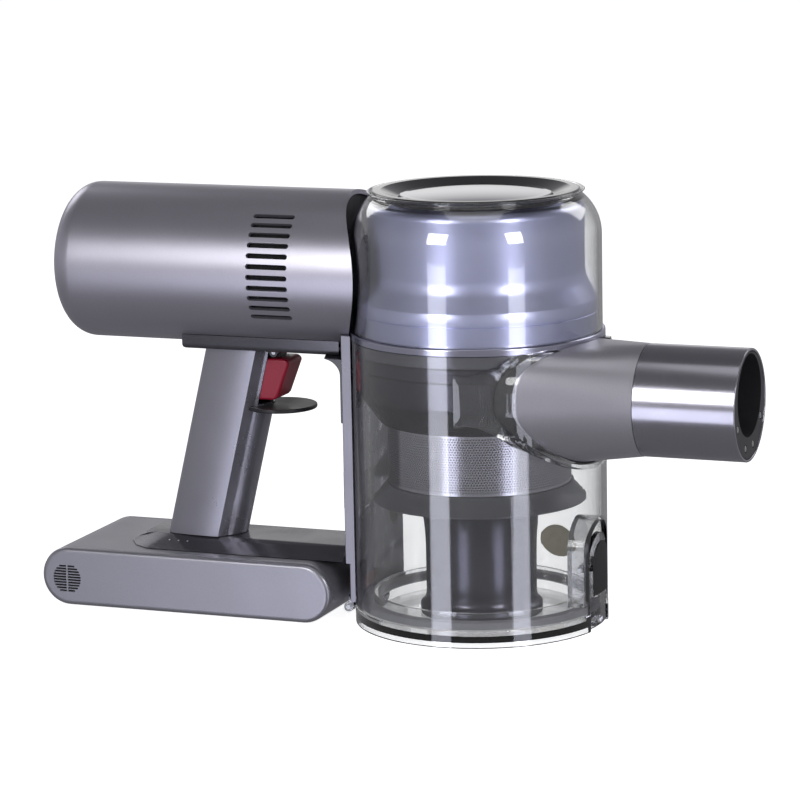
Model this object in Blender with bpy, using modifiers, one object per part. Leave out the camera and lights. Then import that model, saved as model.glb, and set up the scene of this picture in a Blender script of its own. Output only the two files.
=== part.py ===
"""Cordless handheld vacuum: a clear cyclone cup with a nozzle, hung on a motor barrel,
a slanted trigger handle and a battery foot.

World frame, metres: the origin is on the cup's vertical axis at the level the vacuum
stands on, +X points along the nozzle, +Z is up.
"""
from math import cos, pi, radians, sin

import bmesh
import bpy
from mathutils import Matrix, Vector

# Clearances between neighbouring pieces
GAP = 0.0003
RUNNING = 0.00006
SLACK = 0.0005

# Dust cup and its bottom door
CUP_R = 0.0610
CUP_WALL = 0.0025
CUP_TOP = 0.1386
DOOR_RIM = 0.0080
DOOR_PLATE = 0.0040
DOOR_RING_INSET = 0.0065
DOOR_RING_TOP = 0.0150
DOOR_RING_WALL = 0.0018
SEAL_TALL = 0.0037
HINGE_R = 0.0024
HINGE_PIN_R = 0.0010
HINGE_OUT = 0.0033
HINGE_Z = 0.0035

# Door latch in its pocket
POCKET_HALF = 0.0138
POCKET_TOP = 0.0520
POCKET_DEPTH = 0.0105
POCKET_WALL = 0.0018
LATCH_TOP = 0.0460
LATCH_PIVOT_Z = 0.0300
LATCH_PLATE = 0.0024
PAD_THICK = 0.0009
PAD_LOW = 0.0170
PAD_HIGH = 0.0420

# Inlet duct and nozzle
NOZZLE_R = 0.0266
NOZZLE_Y = -0.0109
NOZZLE_DROP = 0.02485
NOZZLE_WALL = 0.0013
DUCT_LONG = 0.0276
NOZZLE_LONG = 0.0493
DUCT_DEEP = 0.0350
DUCT_SPREAD = 0.0164
DUCT_DROP = 0.0083
DUCT_WALL = 0.0022
BORE_R = 0.0195
BORE_RAISE = 0.00465
CONTACT_R = 0.0016
CONTACT_CIRCLE = 0.0205
FLAP_INSET = 0.0076

# Cyclone stack that stands in the cup
RING_TALL = 0.0034
SHELL_STEP = 0.0013
SHELL_WALL = 0.0020
SHELL_TALL = 0.0704
COVER_STEP = 0.0057
COVER_WALL = 0.0012
CAP_INSET = 0.0100
CAP_BAND = 0.0134
SHROUD_WALL = 0.0015
MESH_INSET = 0.0142
MESH_DROP = 0.0404
MESH_TALL = 0.0290
SKIRT_FLARE = 0.0074
TUBE_R = 0.0267
TUBE_LIP_R = 0.0295
FILTER_INSET = 0.0033

# Motor barrel
BARREL_R = 0.0383
BARREL_WALL = 0.0022
BARREL_DROP = 0.0406
BARREL_REAR = -0.2100
BARREL_ROUND = 0.0120
SADDLE_AIR = 0.0007
PORT_R = 0.0165
GASKET_THICK = 0.0016
VENT_COUNT = 11
VENT_LONG = 0.0215
VENT_TALL = 0.0025
VENT_X = -0.0930
VENT_TOP_DEG = 46.5
VENT_PITCH_DEG = 7.78
MOTOR_SPACE = 0.0101
MOTOR_REAR = -0.1500

# Frame: top bar, handle, strut and base rail
BAR_HANG = 0.0011
BAR_HALF = 0.0210
BAR_HEEL = 0.0076
GRIP_LONG = 0.0377
GRIP_HALF = 0.0153
GRIP_REAR = -0.1609
GRIP_FOOT = 0.0371
GRIP_LEAN = 0.2445
GRIP_WALL = 0.0026
STRUT_THICK = 0.0049
STRUT_HALF = 0.0300
BRACKET_LOW = 0.0105
BRACKET_THICK = 0.0021
RAIL_THICK = 0.0050
RAIL_FRONT_HALF = 0.0300
RAIL_TOP_HALF = 0.0140
RAIL_TIP_IN = 0.0385
NECK_TALL = 0.0023
HEAD_TALL = 0.0012
GUARD_R = 0.0175
GUARD_REACH = 0.0053
GUARD_DROP = 0.0050
GUARD_THICK = 0.0020

# Trigger
TRIGGER_WIDE = 0.0180
TRIGGER_TALL = 0.0206
PIVOT_DROP = 0.0024
EAR_R = 0.0021

# Battery
PACK_AIR = 0.0004
PACK_LONG = 0.1544
PACK_TALL = 0.0290
PACK_HALF = 0.0382
PACK_WALL = 0.0020
SIDE_THICK = 0.0037
CELL_R = 0.0092
CELL_LONG = 0.0650
GRILLE_R = 0.0075
GRILLE_IN = 0.0138

FINE = 48
COARSE = 24
DUCT_SIDES = 36

for leftover in list(bpy.data.objects):
    bpy.data.objects.remove(leftover)

PARTS = bpy.data.collections.new("handheld_vacuum")
CUTTERS = bpy.data.collections.new("cutters")
bpy.context.scene.collection.children.link(PARTS)
bpy.context.scene.collection.children.link(CUTTERS)


def look(name, colour, rough, metal=0.0, alpha=1.0):
    """A material with one Principled BSDF."""
    made = bpy.data.materials.new(name)
    made.use_nodes = True
    shader = made.node_tree.nodes["Principled BSDF"]
    shader.inputs["Base Color"].default_value = (*colour, 1.0)
    shader.inputs["Roughness"].default_value = rough
    shader.inputs["Metallic"].default_value = metal
    shader.inputs["Alpha"].default_value = alpha
    return made


def place(name, mesh, finish):
    """A named part made of this mesh; with no finish it is a cutter."""
    made = bpy.data.objects.new(name, mesh)
    if finish is None:
        CUTTERS.objects.link(made)
        made.hide_render = True
        made.display_type = "WIRE"
        return made
    PARTS.objects.link(made)
    mesh.materials.append(look(name, *finish))
    mesh.shade_smooth()
    mesh.set_sharp_from_angle(angle=radians(35))
    return made


def boolean(target, tool, operation="DIFFERENCE"):
    """Cut, join or keep what is common, exactly."""
    step = target.modifiers.new(operation.lower(), "BOOLEAN")
    step.operation = operation
    step.object = tool
    step.solver = "EXACT"
    return target


def soften(target, width, segments=2):
    """Round a part's sharp edges."""
    step = target.modifiers.new("edges", "BEVEL")
    step.width = width
    step.segments = segments
    step.limit_method = "ANGLE"
    step.angle_limit = radians(35)
    return target


def turned(name, outline, finish=None, along="Z", at=(0, 0, 0), steps=FINE, ring=True):
    """A profile of (radius, height) points turned about an axis along X or Z.

    A ring's profile is closed; any other runs from the axis back to the axis.
    """
    twice_area = sum(r0 * h1 - r1 * h0 for (r0, h0), (r1, h1)
                     in zip(outline, outline[1:] + outline[:1]))
    if twice_area > 0:
        outline = outline[::-1]
    mesh = bpy.data.meshes.new(name)
    count = len(outline)
    edges = [(i, i + 1) for i in range(count - 1)]
    if ring:
        edges.append((count - 1, 0))
    mesh.from_pydata([(r, 0, h) for r, h in outline], edges, [])
    made = place(name, mesh, finish)
    made.location = at
    if along == "X":
        made.rotation_euler = (0, pi / 2, 0)
    spin = made.modifiers.new("turn", "SCREW")
    spin.steps = steps
    spin.render_steps = steps
    spin.use_merge_vertices = True
    spin.merge_threshold = 0.00001
    spin.use_smooth_shade = True
    return made


def drum(name, radius, low, high):
    """A round cutter on the cup's axis."""
    return turned(name, [(0, high), (radius, high), (radius, low), (0, low)], ring=False)


def tube(name, outer, inner, low, high, finish=None, along="Z", at=(0, 0, 0), steps=FINE):
    """A plain ring between two radii and two heights."""
    outline = [(outer, high), (outer, low), (inner, low), (inner, high)]
    return turned(name, outline, finish, along, at, steps)


def rod(name, radius, low, high, finish=None, along="Y", at=(0, 0, 0), steps=24):
    """A solid cylinder from low to high along an axis through a point."""
    shape = bmesh.new()
    bmesh.ops.create_cone(shape, cap_ends=True, segments=steps, radius1=radius,
                          radius2=radius, depth=high - low)
    turn = {"X": Matrix.Rotation(pi / 2, 4, "Y"), "Y": Matrix.Rotation(-pi / 2, 4, "X"),
            "Z": Matrix.Identity(4)}[along]
    middle = Matrix.Translation((0, 0, (low + high) / 2))
    shape.transform(turn @ middle)
    mesh = bpy.data.meshes.new(name)
    shape.to_mesh(mesh)
    shape.free()
    made = place(name, mesh, finish)
    made.location = at
    return made


def box(name, low, high, finish=None, origin=(0, 0, 0)):
    """A block between two corners, with its own origin where a joint needs it."""
    low, high, origin = Vector(low), Vector(high), Vector(origin)
    shape = bmesh.new()
    bmesh.ops.create_cube(shape, size=1.0)
    shape.transform(Matrix.Translation((low + high) / 2 - origin)
                    @ Matrix.Diagonal((*(high - low), 1.0)))
    mesh = bpy.data.meshes.new(name)
    shape.to_mesh(mesh)
    shape.free()
    made = place(name, mesh, finish)
    made.location = origin
    return made


def flat(name, outline, facing, low, high, finish=None, origin=(0, 0, 0)):
    """A flat outline given thickness, as a mesh, facing along one world axis."""
    curve = bpy.data.curves.new(name, "CURVE")
    curve.dimensions = "2D"
    curve.fill_mode = "BOTH"
    curve.extrude = (high - low) / 2
    spline = curve.splines.new("POLY")
    spline.points.add(len(outline) - 1)
    for point, (across, up) in zip(spline.points, outline):
        point.co = (across, up, 0, 1)
    spline.use_cyclic_u = True
    draft = bpy.data.objects.new(name, curve)
    bpy.context.scene.collection.objects.link(draft)
    turn = {"Z": Matrix.Identity(4), "Y": Matrix.Rotation(pi / 2, 4, "X"),
            "X": Matrix(((0, 0, 1, 0), (1, 0, 0, 0), (0, 1, 0, 0), (0, 0, 0, 1)))}[facing]
    shift = (low + high) / 2 * (-1 if facing == "Y" else 1)
    draft.matrix_world = turn @ Matrix.Translation((0, 0, shift))
    bpy.context.view_layer.update()
    seen = draft.evaluated_get(bpy.context.evaluated_depsgraph_get())
    mesh = bpy.data.meshes.new_from_object(seen)
    shape = bmesh.new()
    shape.from_mesh(mesh)
    bmesh.ops.remove_doubles(shape, verts=shape.verts, dist=0.000001)
    shape.transform(Matrix.Translation(-Vector(origin)) @ draft.matrix_world)
    bmesh.ops.recalc_face_normals(shape, faces=shape.faces)
    if shape.calc_volume(signed=True) < 0:
        bmesh.ops.reverse_faces(shape, faces=shape.faces)
    shape.to_mesh(mesh)
    shape.free()
    bpy.data.objects.remove(draft)
    made = place(name, mesh, finish)
    made.location = origin
    return made


def wire(name, points, radius, finish):
    """A round wire through points, with its ends closed."""
    curve = bpy.data.curves.new(name, "CURVE")
    curve.dimensions = "3D"
    curve.bevel_depth = radius
    curve.bevel_resolution = 1
    curve.use_fill_caps = True
    spline = curve.splines.new("POLY")
    spline.points.add(len(points) - 1)
    for point, where in zip(spline.points, points):
        point.co = (*where, 1)
    curve.materials.append(look(name, *finish))
    made = bpy.data.objects.new(name, curve)
    PARTS.objects.link(made)
    return made


def arc(centre, radius, start, stop, count):
    """Points on a circle from one angle in degrees to another."""
    angles = [radians(start + (stop - start) * i / count) for i in range(count + 1)]
    return [(centre[0] + radius * cos(a), centre[1] + radius * sin(a)) for a in angles]


def stadium(low, high, middle, half, count=8):
    """A long outline with two half-round ends."""
    right = arc((high - half, middle), half, -90, 90, count)
    left = arc((low + half, middle), half, 90, 270, count)
    return right + left


def arch(half, low, top, count=8):
    """A doorway outline: straight sides under a half circle."""
    return [(half, low)] + arc((0, top - half), half, 0, 180, count) + [(-half, low)]


GUNMETAL = ((0.25, 0.24, 0.27), 0.33, 0.8)
CLEAR = ((0.92, 0.93, 0.92), 0.05, 0.0, 0.3)
BRIGHT = ((0.75, 0.76, 0.80), 0.18, 1.0)
DARK = ((0.05, 0.05, 0.06), 0.35, 0.0)
PLATED = ((0.50, 0.53, 0.63), 0.22, 0.9)
RUBBER = ((0.03, 0.03, 0.03), 0.7, 0.0)
STEEL = ((0.6, 0.6, 0.6), 0.3, 1.0)
RED = ((0.30, 0.02, 0.05), 0.35, 0.0)
GREEN = ((0.02, 0.16, 0.08), 0.5, 0.0)
COPPER = ((0.50, 0.25, 0.10), 0.4, 0.8)

# Radii and levels that follow from the driving sizes
CUP_IN = CUP_R - CUP_WALL
CUP_LOW = DOOR_RIM + GAP
DOOR_RING_R = CUP_IN - DOOR_RING_INSET
HINGE_X = -(CUP_R + HINGE_OUT)
PLATE_X = CUP_R - 0.0006
POCKET_X = CUP_R - POCKET_DEPTH
LATCH_X = POCKET_X + 0.0035
CUP_LEVEL = CUP_TOP + GAP
SHELL_LOW = CUP_LEVEL + RING_TALL + GAP
SHELL_R = CUP_R - SHELL_STEP
SHELL_TOP = CUP_TOP + SHELL_TALL
COVER_FLARE_R = SHELL_R - SHELL_WALL - SLACK
COVER_R = COVER_FLARE_R - COVER_STEP
CAP_R = SHELL_R - CAP_INSET
CAP_DISC_R = CAP_R - CAP_BAND
FILTER_R = CAP_DISC_R - FILTER_INSET
SHROUD_R = CUP_IN - GAP
MESH_R = SHROUD_R - MESH_INSET
MESH_HIGH = CUP_TOP - MESH_DROP
MESH_LOW = MESH_HIGH - MESH_TALL
SKIRT_R = MESH_R + SKIRT_FLARE
NOZZLE_Z = CUP_TOP - NOZZLE_DROP
NOZZLE_SEAM = CUP_R + DUCT_LONG
FLAP_R = NOZZLE_R - FLAP_INSET
NOZZLE_END = NOZZLE_SEAM + NOZZLE_LONG
DUCT_ROOT = CUP_R - DUCT_DEEP
BORE_Z = NOZZLE_Z + BORE_RAISE
SADDLE_R = CUP_R + SADDLE_AIR
STRUT_IN = CUP_R + 2 * GAP
STRUT_OUT = STRUT_IN + STRUT_THICK
BARREL_Z = SHELL_TOP - BARREL_DROP
MOTOR_R = BARREL_R - BARREL_WALL - MOTOR_SPACE
BAR_LOW = BARREL_Z - BARREL_R - BAR_HANG
TRIGGER_TOP = BAR_LOW - 0.0054
TRIGGER_LOW = TRIGGER_TOP - TRIGGER_TALL
GUARD_Z = TRIGGER_LOW - GUARD_DROP
RAIL_TOP = PACK_TALL + RAIL_THICK
PACK_FRONT = -(STRUT_IN + BRACKET_THICK + PACK_AIR)
PACK_REAR = PACK_FRONT - PACK_LONG
RAIL_TIP = PACK_REAR + RAIL_TIP_IN
GRILLE_X = PACK_REAR + GRILLE_IN


def grip_rear(height):
    """The grip's rear edge at this height."""
    return GRIP_REAR + (height - GRIP_FOOT) * GRIP_LEAN


def grip_front(height):
    """The grip's foremost line at this height."""
    return grip_rear(height) + GRIP_LONG


PIVOT_Z = BAR_LOW - PIVOT_DROP
PIVOT_X = grip_front(PIVOT_Z) - 0.0017
BAR_REAR = grip_rear(BAR_LOW) - BAR_HEEL
GUARD_X = grip_front(GUARD_Z) + GUARD_REACH


def duct_section(x, inset):
    """One ring of the duct: a circle at the seam, wider, deeper and squarer at the cup."""
    t = (NOZZLE_SEAM - x) / (NOZZLE_SEAM - DUCT_ROOT)
    square = 2 + 2 * min(1.0, max(0.0, t) / 0.7)
    left = NOZZLE_R + DUCT_SPREAD * t - inset
    right = NOZZLE_R - 0.001 * t - inset
    drop = NOZZLE_R + DUCT_DROP * t - inset
    points = []
    for step in range(DUCT_SIDES):
        angle = 2 * pi * step / DUCT_SIDES
        c, s = cos(angle), sin(angle)
        power = 2 / square if s > 0 else 1.0
        across = (right if c > 0 else left) * abs(c) ** power * (1 if c > 0 else -1)
        up = (NOZZLE_R - inset if s > 0 else drop) * abs(s) ** power * (1 if s > 0 else -1)
        points.append((x, NOZZLE_Y + across, NOZZLE_Z + up))
    return points


def duct_loft(name, inset, root, seam, finish=None):
    """The duct's sections joined into one closed solid."""
    shape = bmesh.new()
    rings = []
    for step in range(6):
        x = seam + (root - seam) * step / 5
        rings.append([shape.verts.new(p) for p in duct_section(x, inset)])
    for one, two in zip(rings, rings[1:]):
        for i in range(DUCT_SIDES):
            j = (i + 1) % DUCT_SIDES
            shape.faces.new((one[i], one[j], two[j], two[i]))
    shape.faces.new(rings[0])
    shape.faces.new(rings[-1][::-1])
    bmesh.ops.recalc_face_normals(shape, faces=shape.faces)
    mesh = bpy.data.meshes.new(name)
    shape.to_mesh(mesh)
    shape.free()
    return place(name, mesh, finish)


def dust_cup():
    """Clear cup wall with the latch pocket, the inlet window and two hinge arms."""
    cup = tube("dust_cup", CUP_R, CUP_IN, CUP_LOW, CUP_TOP, CLEAR)
    floor = CUP_LOW + SEAL_TALL + GAP
    wall = POCKET_WALL
    shell = flat("pocket_block", arch(POCKET_HALF + wall, floor, POCKET_TOP + wall), "X",
                 POCKET_X - wall, CUP_R + 0.01)
    boolean(shell, tube("pocket_limit", CUP_R + 0.02, CUP_R - 0.001, 0, 0.08))
    boolean(cup, shell, "UNION")
    boolean(cup, flat("pocket_room", arch(POCKET_HALF, floor + wall, POCKET_TOP), "X",
                      POCKET_X, CUP_R + 0.01))
    boolean(cup, box("latch_way", (PLATE_X - 2 * LATCH_PLATE, -POCKET_HALF, 0),
                     (CUP_R + 0.01, POCKET_HALF, floor + wall + 0.001)))
    boolean(cup, flat("inlet_window", stadium(NOZZLE_Y - 0.0411, NOZZLE_Y + 0.0009,
                                              NOZZLE_Z - 0.00775, 0.015), "X",
                      0.020, CUP_R + 0.01))
    for side in (-1, 1):
        near, far = sorted((side * 0.008, side * 0.014))
        top = CUP_LOW + 0.0016
        boolean(cup, box("hinge_post", (HINGE_X + 0.0004, near, HINGE_Z),
                         (-CUP_R - SLACK, far, top)), "UNION")
        boolean(cup, box("hinge_shelf", (HINGE_X + 0.0004, near, CUP_LOW + 0.0002),
                         (-CUP_IN + 0.0008, far, top)), "UNION")
        boolean(cup, rod("hinge_eye", HINGE_R, near, far, at=(HINGE_X, 0, HINGE_Z)), "UNION")
    boolean(cup, rod("hinge_bore", HINGE_PIN_R + GAP, -0.02, 0.02, at=(HINGE_X, 0, HINGE_Z),
                     steps=16))


def cup_label():
    """Blank oval label on the inside of the cup's rear wall."""
    label = tube("cup_label", CUP_IN - GAP, CUP_IN - 2 * GAP, 0.015, 0.040,
                 ((0.35, 0.30, 0.22), 0.5))
    oval = [(0.0215 + 0.0105 * cos(a), 0.0275 + 0.0080 * sin(a))
            for a in [2 * pi * i / 24 for i in range(24)]]
    boolean(label, flat("label_edge", oval, "Y", CUP_R / 2, CUP_R), "INTERSECT")


def door():
    """Clear bottom door: plate, rim, upstanding ring, hinge eye and latch ledge."""
    plate = DOOR_PLATE
    ring_in = DOOR_RING_R - DOOR_RING_WALL
    door_r = CUP_R + 0.0002
    outline = [(0, plate), (ring_in, plate), (ring_in, DOOR_RING_TOP),
               (DOOR_RING_R, DOOR_RING_TOP), (DOOR_RING_R, DOOR_RIM), (door_r, DOOR_RIM),
               (door_r, 0), (0, 0)]
    made = turned("cup_door", outline, CLEAR, at=(0, 0, 0), ring=False)
    eye = 0.008 - GAP
    boolean(made, box("door_tongue", (HINGE_X, -eye, HINGE_Z - 0.002),
                      (-CUP_R + 0.001, eye, HINGE_Z + 0.0022)), "UNION")
    boolean(made, rod("door_eye", HINGE_R, -eye, eye, at=(HINGE_X, 0, HINGE_Z)), "UNION")
    boolean(made, rod("door_bore", HINGE_PIN_R + RUNNING, -0.02, 0.02,
                      at=(HINGE_X, 0, HINGE_Z), steps=16))
    boolean(made, box("lever_notch", (PLATE_X - 2 * LATCH_PLATE, -0.0127, -0.001),
                      (CUP_R + 0.002, 0.0127, 0.009)))
    boolean(made, box("hook_notch", (LATCH_X - 0.0012, -0.0056, -0.001),
                      (CUP_R + 0.002, 0.0056, HINGE_Z + 0.0004)))
    low = CUP_LOW + SEAL_TALL
    half = POCKET_HALF + POCKET_WALL + SLACK
    boolean(made, box("ring_notch", (POCKET_X - POCKET_WALL - SLACK, -half, low),
                      (CUP_R, half, DOOR_RING_TOP + 0.001)))


def door_seal():
    """Soft ring on the door that closes against the cup wall."""
    inner = DOOR_RING_R + GAP
    tube("door_seal", CUP_IN - 0.0009, inner, CUP_LOW, CUP_LOW + SEAL_TALL - GAP,
         ((0.35, 0.35, 0.37), 0.6))


def hinge_pin():
    """Steel pin through the door hinge."""
    rod("hinge_pin", HINGE_PIN_R, -0.0138, 0.0138, STEEL, at=(HINGE_X, 0, HINGE_Z), steps=16)


def latch_lever():
    """Curved clear lever flush with the cup: eye on its pin, hook under the door ledge."""
    pivot = (LATCH_X, 0, LATCH_PIVOT_Z)
    inner = PLATE_X - LATCH_PLATE
    half = POCKET_HALF - 0.0016
    lever = flat("latch_lever", arch(half, 0.001, LATCH_TOP), "X", POCKET_X, CUP_R + 0.01, CLEAR)
    boolean(lever, tube("lever_skin", PLATE_X, inner, -0.001, 0.08), "INTERSECT")
    boolean(lever, box("lever_web", (LATCH_X, -0.009, LATCH_PIVOT_Z - 0.0015),
                       (inner + 0.001, 0.003, LATCH_PIVOT_Z + 0.0015)), "UNION")
    boolean(lever, rod("lever_eye", 0.0022, -0.009, 0.003, at=pivot), "UNION")
    boolean(lever, rod("lever_bore", HINGE_PIN_R + RUNNING, -0.01, 0.01, at=pivot, steps=16))
    boolean(lever, box("lever_hook", (LATCH_X - 0.0006, -0.005, 0.001),
                       (inner + 0.001, 0.005, HINGE_Z)), "UNION")


def latch_pad():
    """Dark thumb pad on the lever."""
    pad = flat("latch_pad", arch(0.0095, PAD_LOW, PAD_HIGH), "X", POCKET_X, CUP_R + 0.01, RUBBER)
    inner = PLATE_X + GAP
    boolean(pad, tube("pad_skin", inner + PAD_THICK, inner, 0, 0.08), "INTERSECT")


def latch_pin():
    """Pin across the latch pocket."""
    reach = POCKET_HALF - GAP
    rod("latch_pin", HINGE_PIN_R, -reach, reach, STEEL, at=(LATCH_X, 0, LATCH_PIVOT_Z), steps=16)


def coil(name, centre, radius, low, high, turns, thick):
    """Torsion spring wound round a pin that lies along Y."""
    points = []
    per_turn = 8
    for step in range(turns * per_turn + 1):
        angle = 2 * pi * step / per_turn
        along = low + (high - low) * step / (turns * per_turn)
        points.append((centre[0] + radius * cos(angle), along, centre[1] + radius * sin(angle)))
    wire(name, points, thick, STEEL)


def inlet_duct():
    """Hollow duct from the cup wall to the round nozzle."""
    duct = duct_loft("inlet_duct", 0.0, DUCT_ROOT, NOZZLE_SEAM, GUNMETAL)
    boolean(duct, duct_loft("duct_room", DUCT_WALL, DUCT_ROOT - 0.004, NOZZLE_SEAM + 0.002))
    boolean(duct, drum("cup_room", CUP_R + GAP, NOZZLE_Z - 0.06, NOZZLE_Z + 0.06))


def nozzle():
    """Straight metal sleeve, its moulded liner with the raised bore, and four contacts."""
    centre = (0, NOZZLE_Y, NOZZLE_Z)
    inside = NOZZLE_R - NOZZLE_WALL
    tube("nozzle_sleeve", NOZZLE_R, inside, NOZZLE_SEAM + GAP, NOZZLE_END, GUNMETAL, "X", centre)
    start = NOZZLE_SEAM + 0.0034
    end = NOZZLE_END - 0.0004
    liner = rod("nozzle_liner", inside - GAP, start, end, DARK, "X", centre, FINE)
    boolean(liner, rod("nozzle_bore", BORE_R, start - 0.01, end + 0.01, None, "X",
                       (0, NOZZLE_Y, BORE_Z), FINE))
    for number, angle in enumerate((-156, -107.5, -72.5, -24), 1):
        where = (0, NOZZLE_Y + CONTACT_CIRCLE * cos(radians(angle)),
                 NOZZLE_Z + CONTACT_CIRCLE * sin(radians(angle)))
        boolean(liner, rod("contact_hole", CONTACT_R + GAP, end - 0.006, end + 0.01, None, "X",
                           where, 12))
        rod("nozzle_contact_%d" % number, CONTACT_R, end - 0.005, end, BRIGHT, "X", where, 12)


def inlet_flap():
    """Hanging flap that keeps the dust in, hinged above the bore's inner end."""
    axis = (NOZZLE_SEAM + 0.0011, NOZZLE_Y, NOZZLE_Z + NOZZLE_R - 0.0037)
    flap = rod("inlet_flap", FLAP_R, -0.0008, 0.0008, RUBBER, "X",
               (axis[0], axis[1], axis[2] - FLAP_R - 0.0006), COARSE)
    eye = rod("flap_eye", 0.0012, -0.006, 0.006, at=axis, steps=12)
    boolean(flap, eye, "UNION")


def cup_ring():
    """Bright trim ring between the cup and the shell above."""
    tube("cup_ring", CUP_R, SHELL_R - 0.003, CUP_LEVEL, CUP_LEVEL + RING_TALL, BRIGHT)


def top_shell():
    """Clear upper shell with a rounded shoulder and an opening for the filter cap."""
    outer = [(SHELL_R, SHELL_LOW)] + arc((SHELL_R - 0.024, SHELL_TOP - 0.0215), 0.024, 0, 55, 4)
    lip = CAP_R + 0.0015
    inner_wall = SHELL_R - SHELL_WALL
    inner = [(CAP_R + GAP, SHELL_TOP), (CAP_R + GAP, SHELL_TOP - 0.002)]
    inner += arc((SHELL_R - 0.024, SHELL_TOP - 0.0215), 0.022, 48, 0, 3)
    shell = turned("top_shell", outer + [(lip, SHELL_TOP)] + inner + [(inner_wall, SHELL_LOW)],
                   CLEAR)
    boolean(shell, rod("shell_port", PORT_R, -CUP_R - 0.01, -0.03, along="X", at=(0, 0, BARREL_Z),
                       steps=COARSE))


def metal_cover():
    """Plated cover over the cyclone, flared to a collar at its foot."""
    low = SHELL_LOW
    outer = [(COVER_FLARE_R, low), (COVER_FLARE_R, low + 0.016),
             (COVER_R, low + 0.029), (COVER_R, SHELL_TOP - 0.010),
             (COVER_R - 0.006, SHELL_TOP - 0.005)]
    inner = [(r - COVER_WALL, h - (COVER_WALL if r < COVER_R else 0)) for r, h in outer[::-1]]
    cover = turned("metal_cover", outer + inner, PLATED)
    boolean(cover, rod("cover_port", PORT_R, -CUP_R - 0.01, -0.03, along="X", at=(0, 0, BARREL_Z),
                       steps=COARSE))


def cyclone_shroud():
    """Dark stepped head of the cyclone, coned down to the mesh."""
    wall = SHROUD_WALL
    top = CUP_LEVEL + RING_TALL - GAP
    reach = SHELL_R - 0.003 - GAP
    foot = MESH_HIGH + GAP
    waist = SHROUD_R - 0.0007
    outer = [(reach, top), (reach, CUP_TOP), (SHROUD_R, CUP_TOP), (SHROUD_R, foot + 0.0265),
             (waist, foot + 0.0125), (MESH_R + 0.0038, foot)]
    inner = [(MESH_R - 0.0010, foot), (waist - 3 * wall, foot + 0.0145),
             (reach - 2 * wall, top)]
    turned("cyclone_shroud", outer + inner, DARK)


def mesh_screen():
    """Perforated steel screen that the air leaves through."""
    tube("mesh_screen", MESH_R, MESH_R - 0.0007, MESH_LOW, MESH_HIGH, STEEL)


def shroud_skirt():
    """Flared skirt under the mesh with a floor that holds the dust tube."""
    top = MESH_LOW - GAP
    low = MESH_LOW - 0.0092
    outline = [(MESH_R + 0.0008, top), (SKIRT_R, low + 0.0006), (SKIRT_R, low),
               (SKIRT_R - 0.0014, low), (MESH_R - 0.0008, top - 0.0022),
               (TUBE_R + 0.0043, top - 0.0022), (TUBE_R + 0.0043, top)]
    turned("shroud_skirt", outline, DARK)


def dust_tube():
    """Inner tube that drops the fine dust onto the door."""
    top = MESH_LOW - 0.0029
    foot = DOOR_PLATE + 0.0024
    outer = [(TUBE_R + 0.0051, top), (TUBE_R + 0.0048, top - 0.0133),
             (TUBE_R, top - 0.0253), (TUBE_R, foot + 0.0051),
             (TUBE_LIP_R, foot + 0.0021), (TUBE_LIP_R, foot)]
    inner = [(TUBE_LIP_R - 0.004, foot), (TUBE_R - 0.0017, foot + 0.0051),
             (TUBE_R - 0.0017, top - 0.0253), (TUBE_R + 0.0031, top - 0.0123),
             (TUBE_R + 0.0031, top)]
    turned("dust_tube", outer + inner, DARK)


def tube_seal():
    """Soft ring under the dust tube's foot."""
    low = DOOR_PLATE
    tube("tube_seal", TUBE_LIP_R, TUBE_LIP_R - 0.004, low + GAP, low + 0.0021, RUBBER)


def inner_cone():
    """Second cyclone: a funnel inside the shroud."""
    mouth, spout = MESH_R - 0.004, TUBE_R - 0.0117
    low = MESH_LOW + 0.0028
    outline = [(mouth, CUP_TOP), (mouth, CUP_TOP - 0.0166), (spout, low), (spout - 0.0015, low),
               (mouth - 0.0015, CUP_TOP - 0.0162), (mouth - 0.0015, CUP_TOP)]
    turned("inner_cone", outline, DARK, steps=COARSE)


def filter_cap():
    """Lift-out cap: dark dished ring, bright disc, pleated filter and its seal."""
    top = SHELL_TOP + GAP
    ring = [(CAP_R, top), (CAP_R, top - 0.0045), (CAP_DISC_R + 0.0007, top - 0.0060),
            (CAP_DISC_R + 0.0007, top - 0.0036), (CAP_R - 0.0060, top - 0.0012),
            (CAP_R - 0.0040, top)]
    turned("cap_ring", ring, DARK)
    disc = [(0, top), (CAP_DISC_R - 0.006, top - 0.0001), (CAP_DISC_R, top - 0.0008),
            (CAP_DISC_R, top - 0.0034), (0, top - 0.0034)]
    turned("cap_disc", disc, ((0.10, 0.10, 0.11), 0.05, 0.9), ring=False)
    pleats = []
    for step in range(72):
        radius = FILTER_R if step % 2 else FILTER_R - 0.006
        angle = 2 * pi * step / 72
        pleats.append((radius * cos(angle), radius * sin(angle)))
    high = top - 0.0103
    paper = flat("pleated_filter", pleats, "Z", high - 0.047, high, ((0.85, 0.85, 0.82), 0.8))
    boolean(paper, rod("filter_core", FILTER_R - 0.013, high - 0.06, high + 0.01, along="Z",
                       steps=COARSE))
    tube("filter_seal", FILTER_R + 0.0055, FILTER_R, high + GAP, top - 0.0065, RUBBER,
         steps=COARSE)


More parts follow.
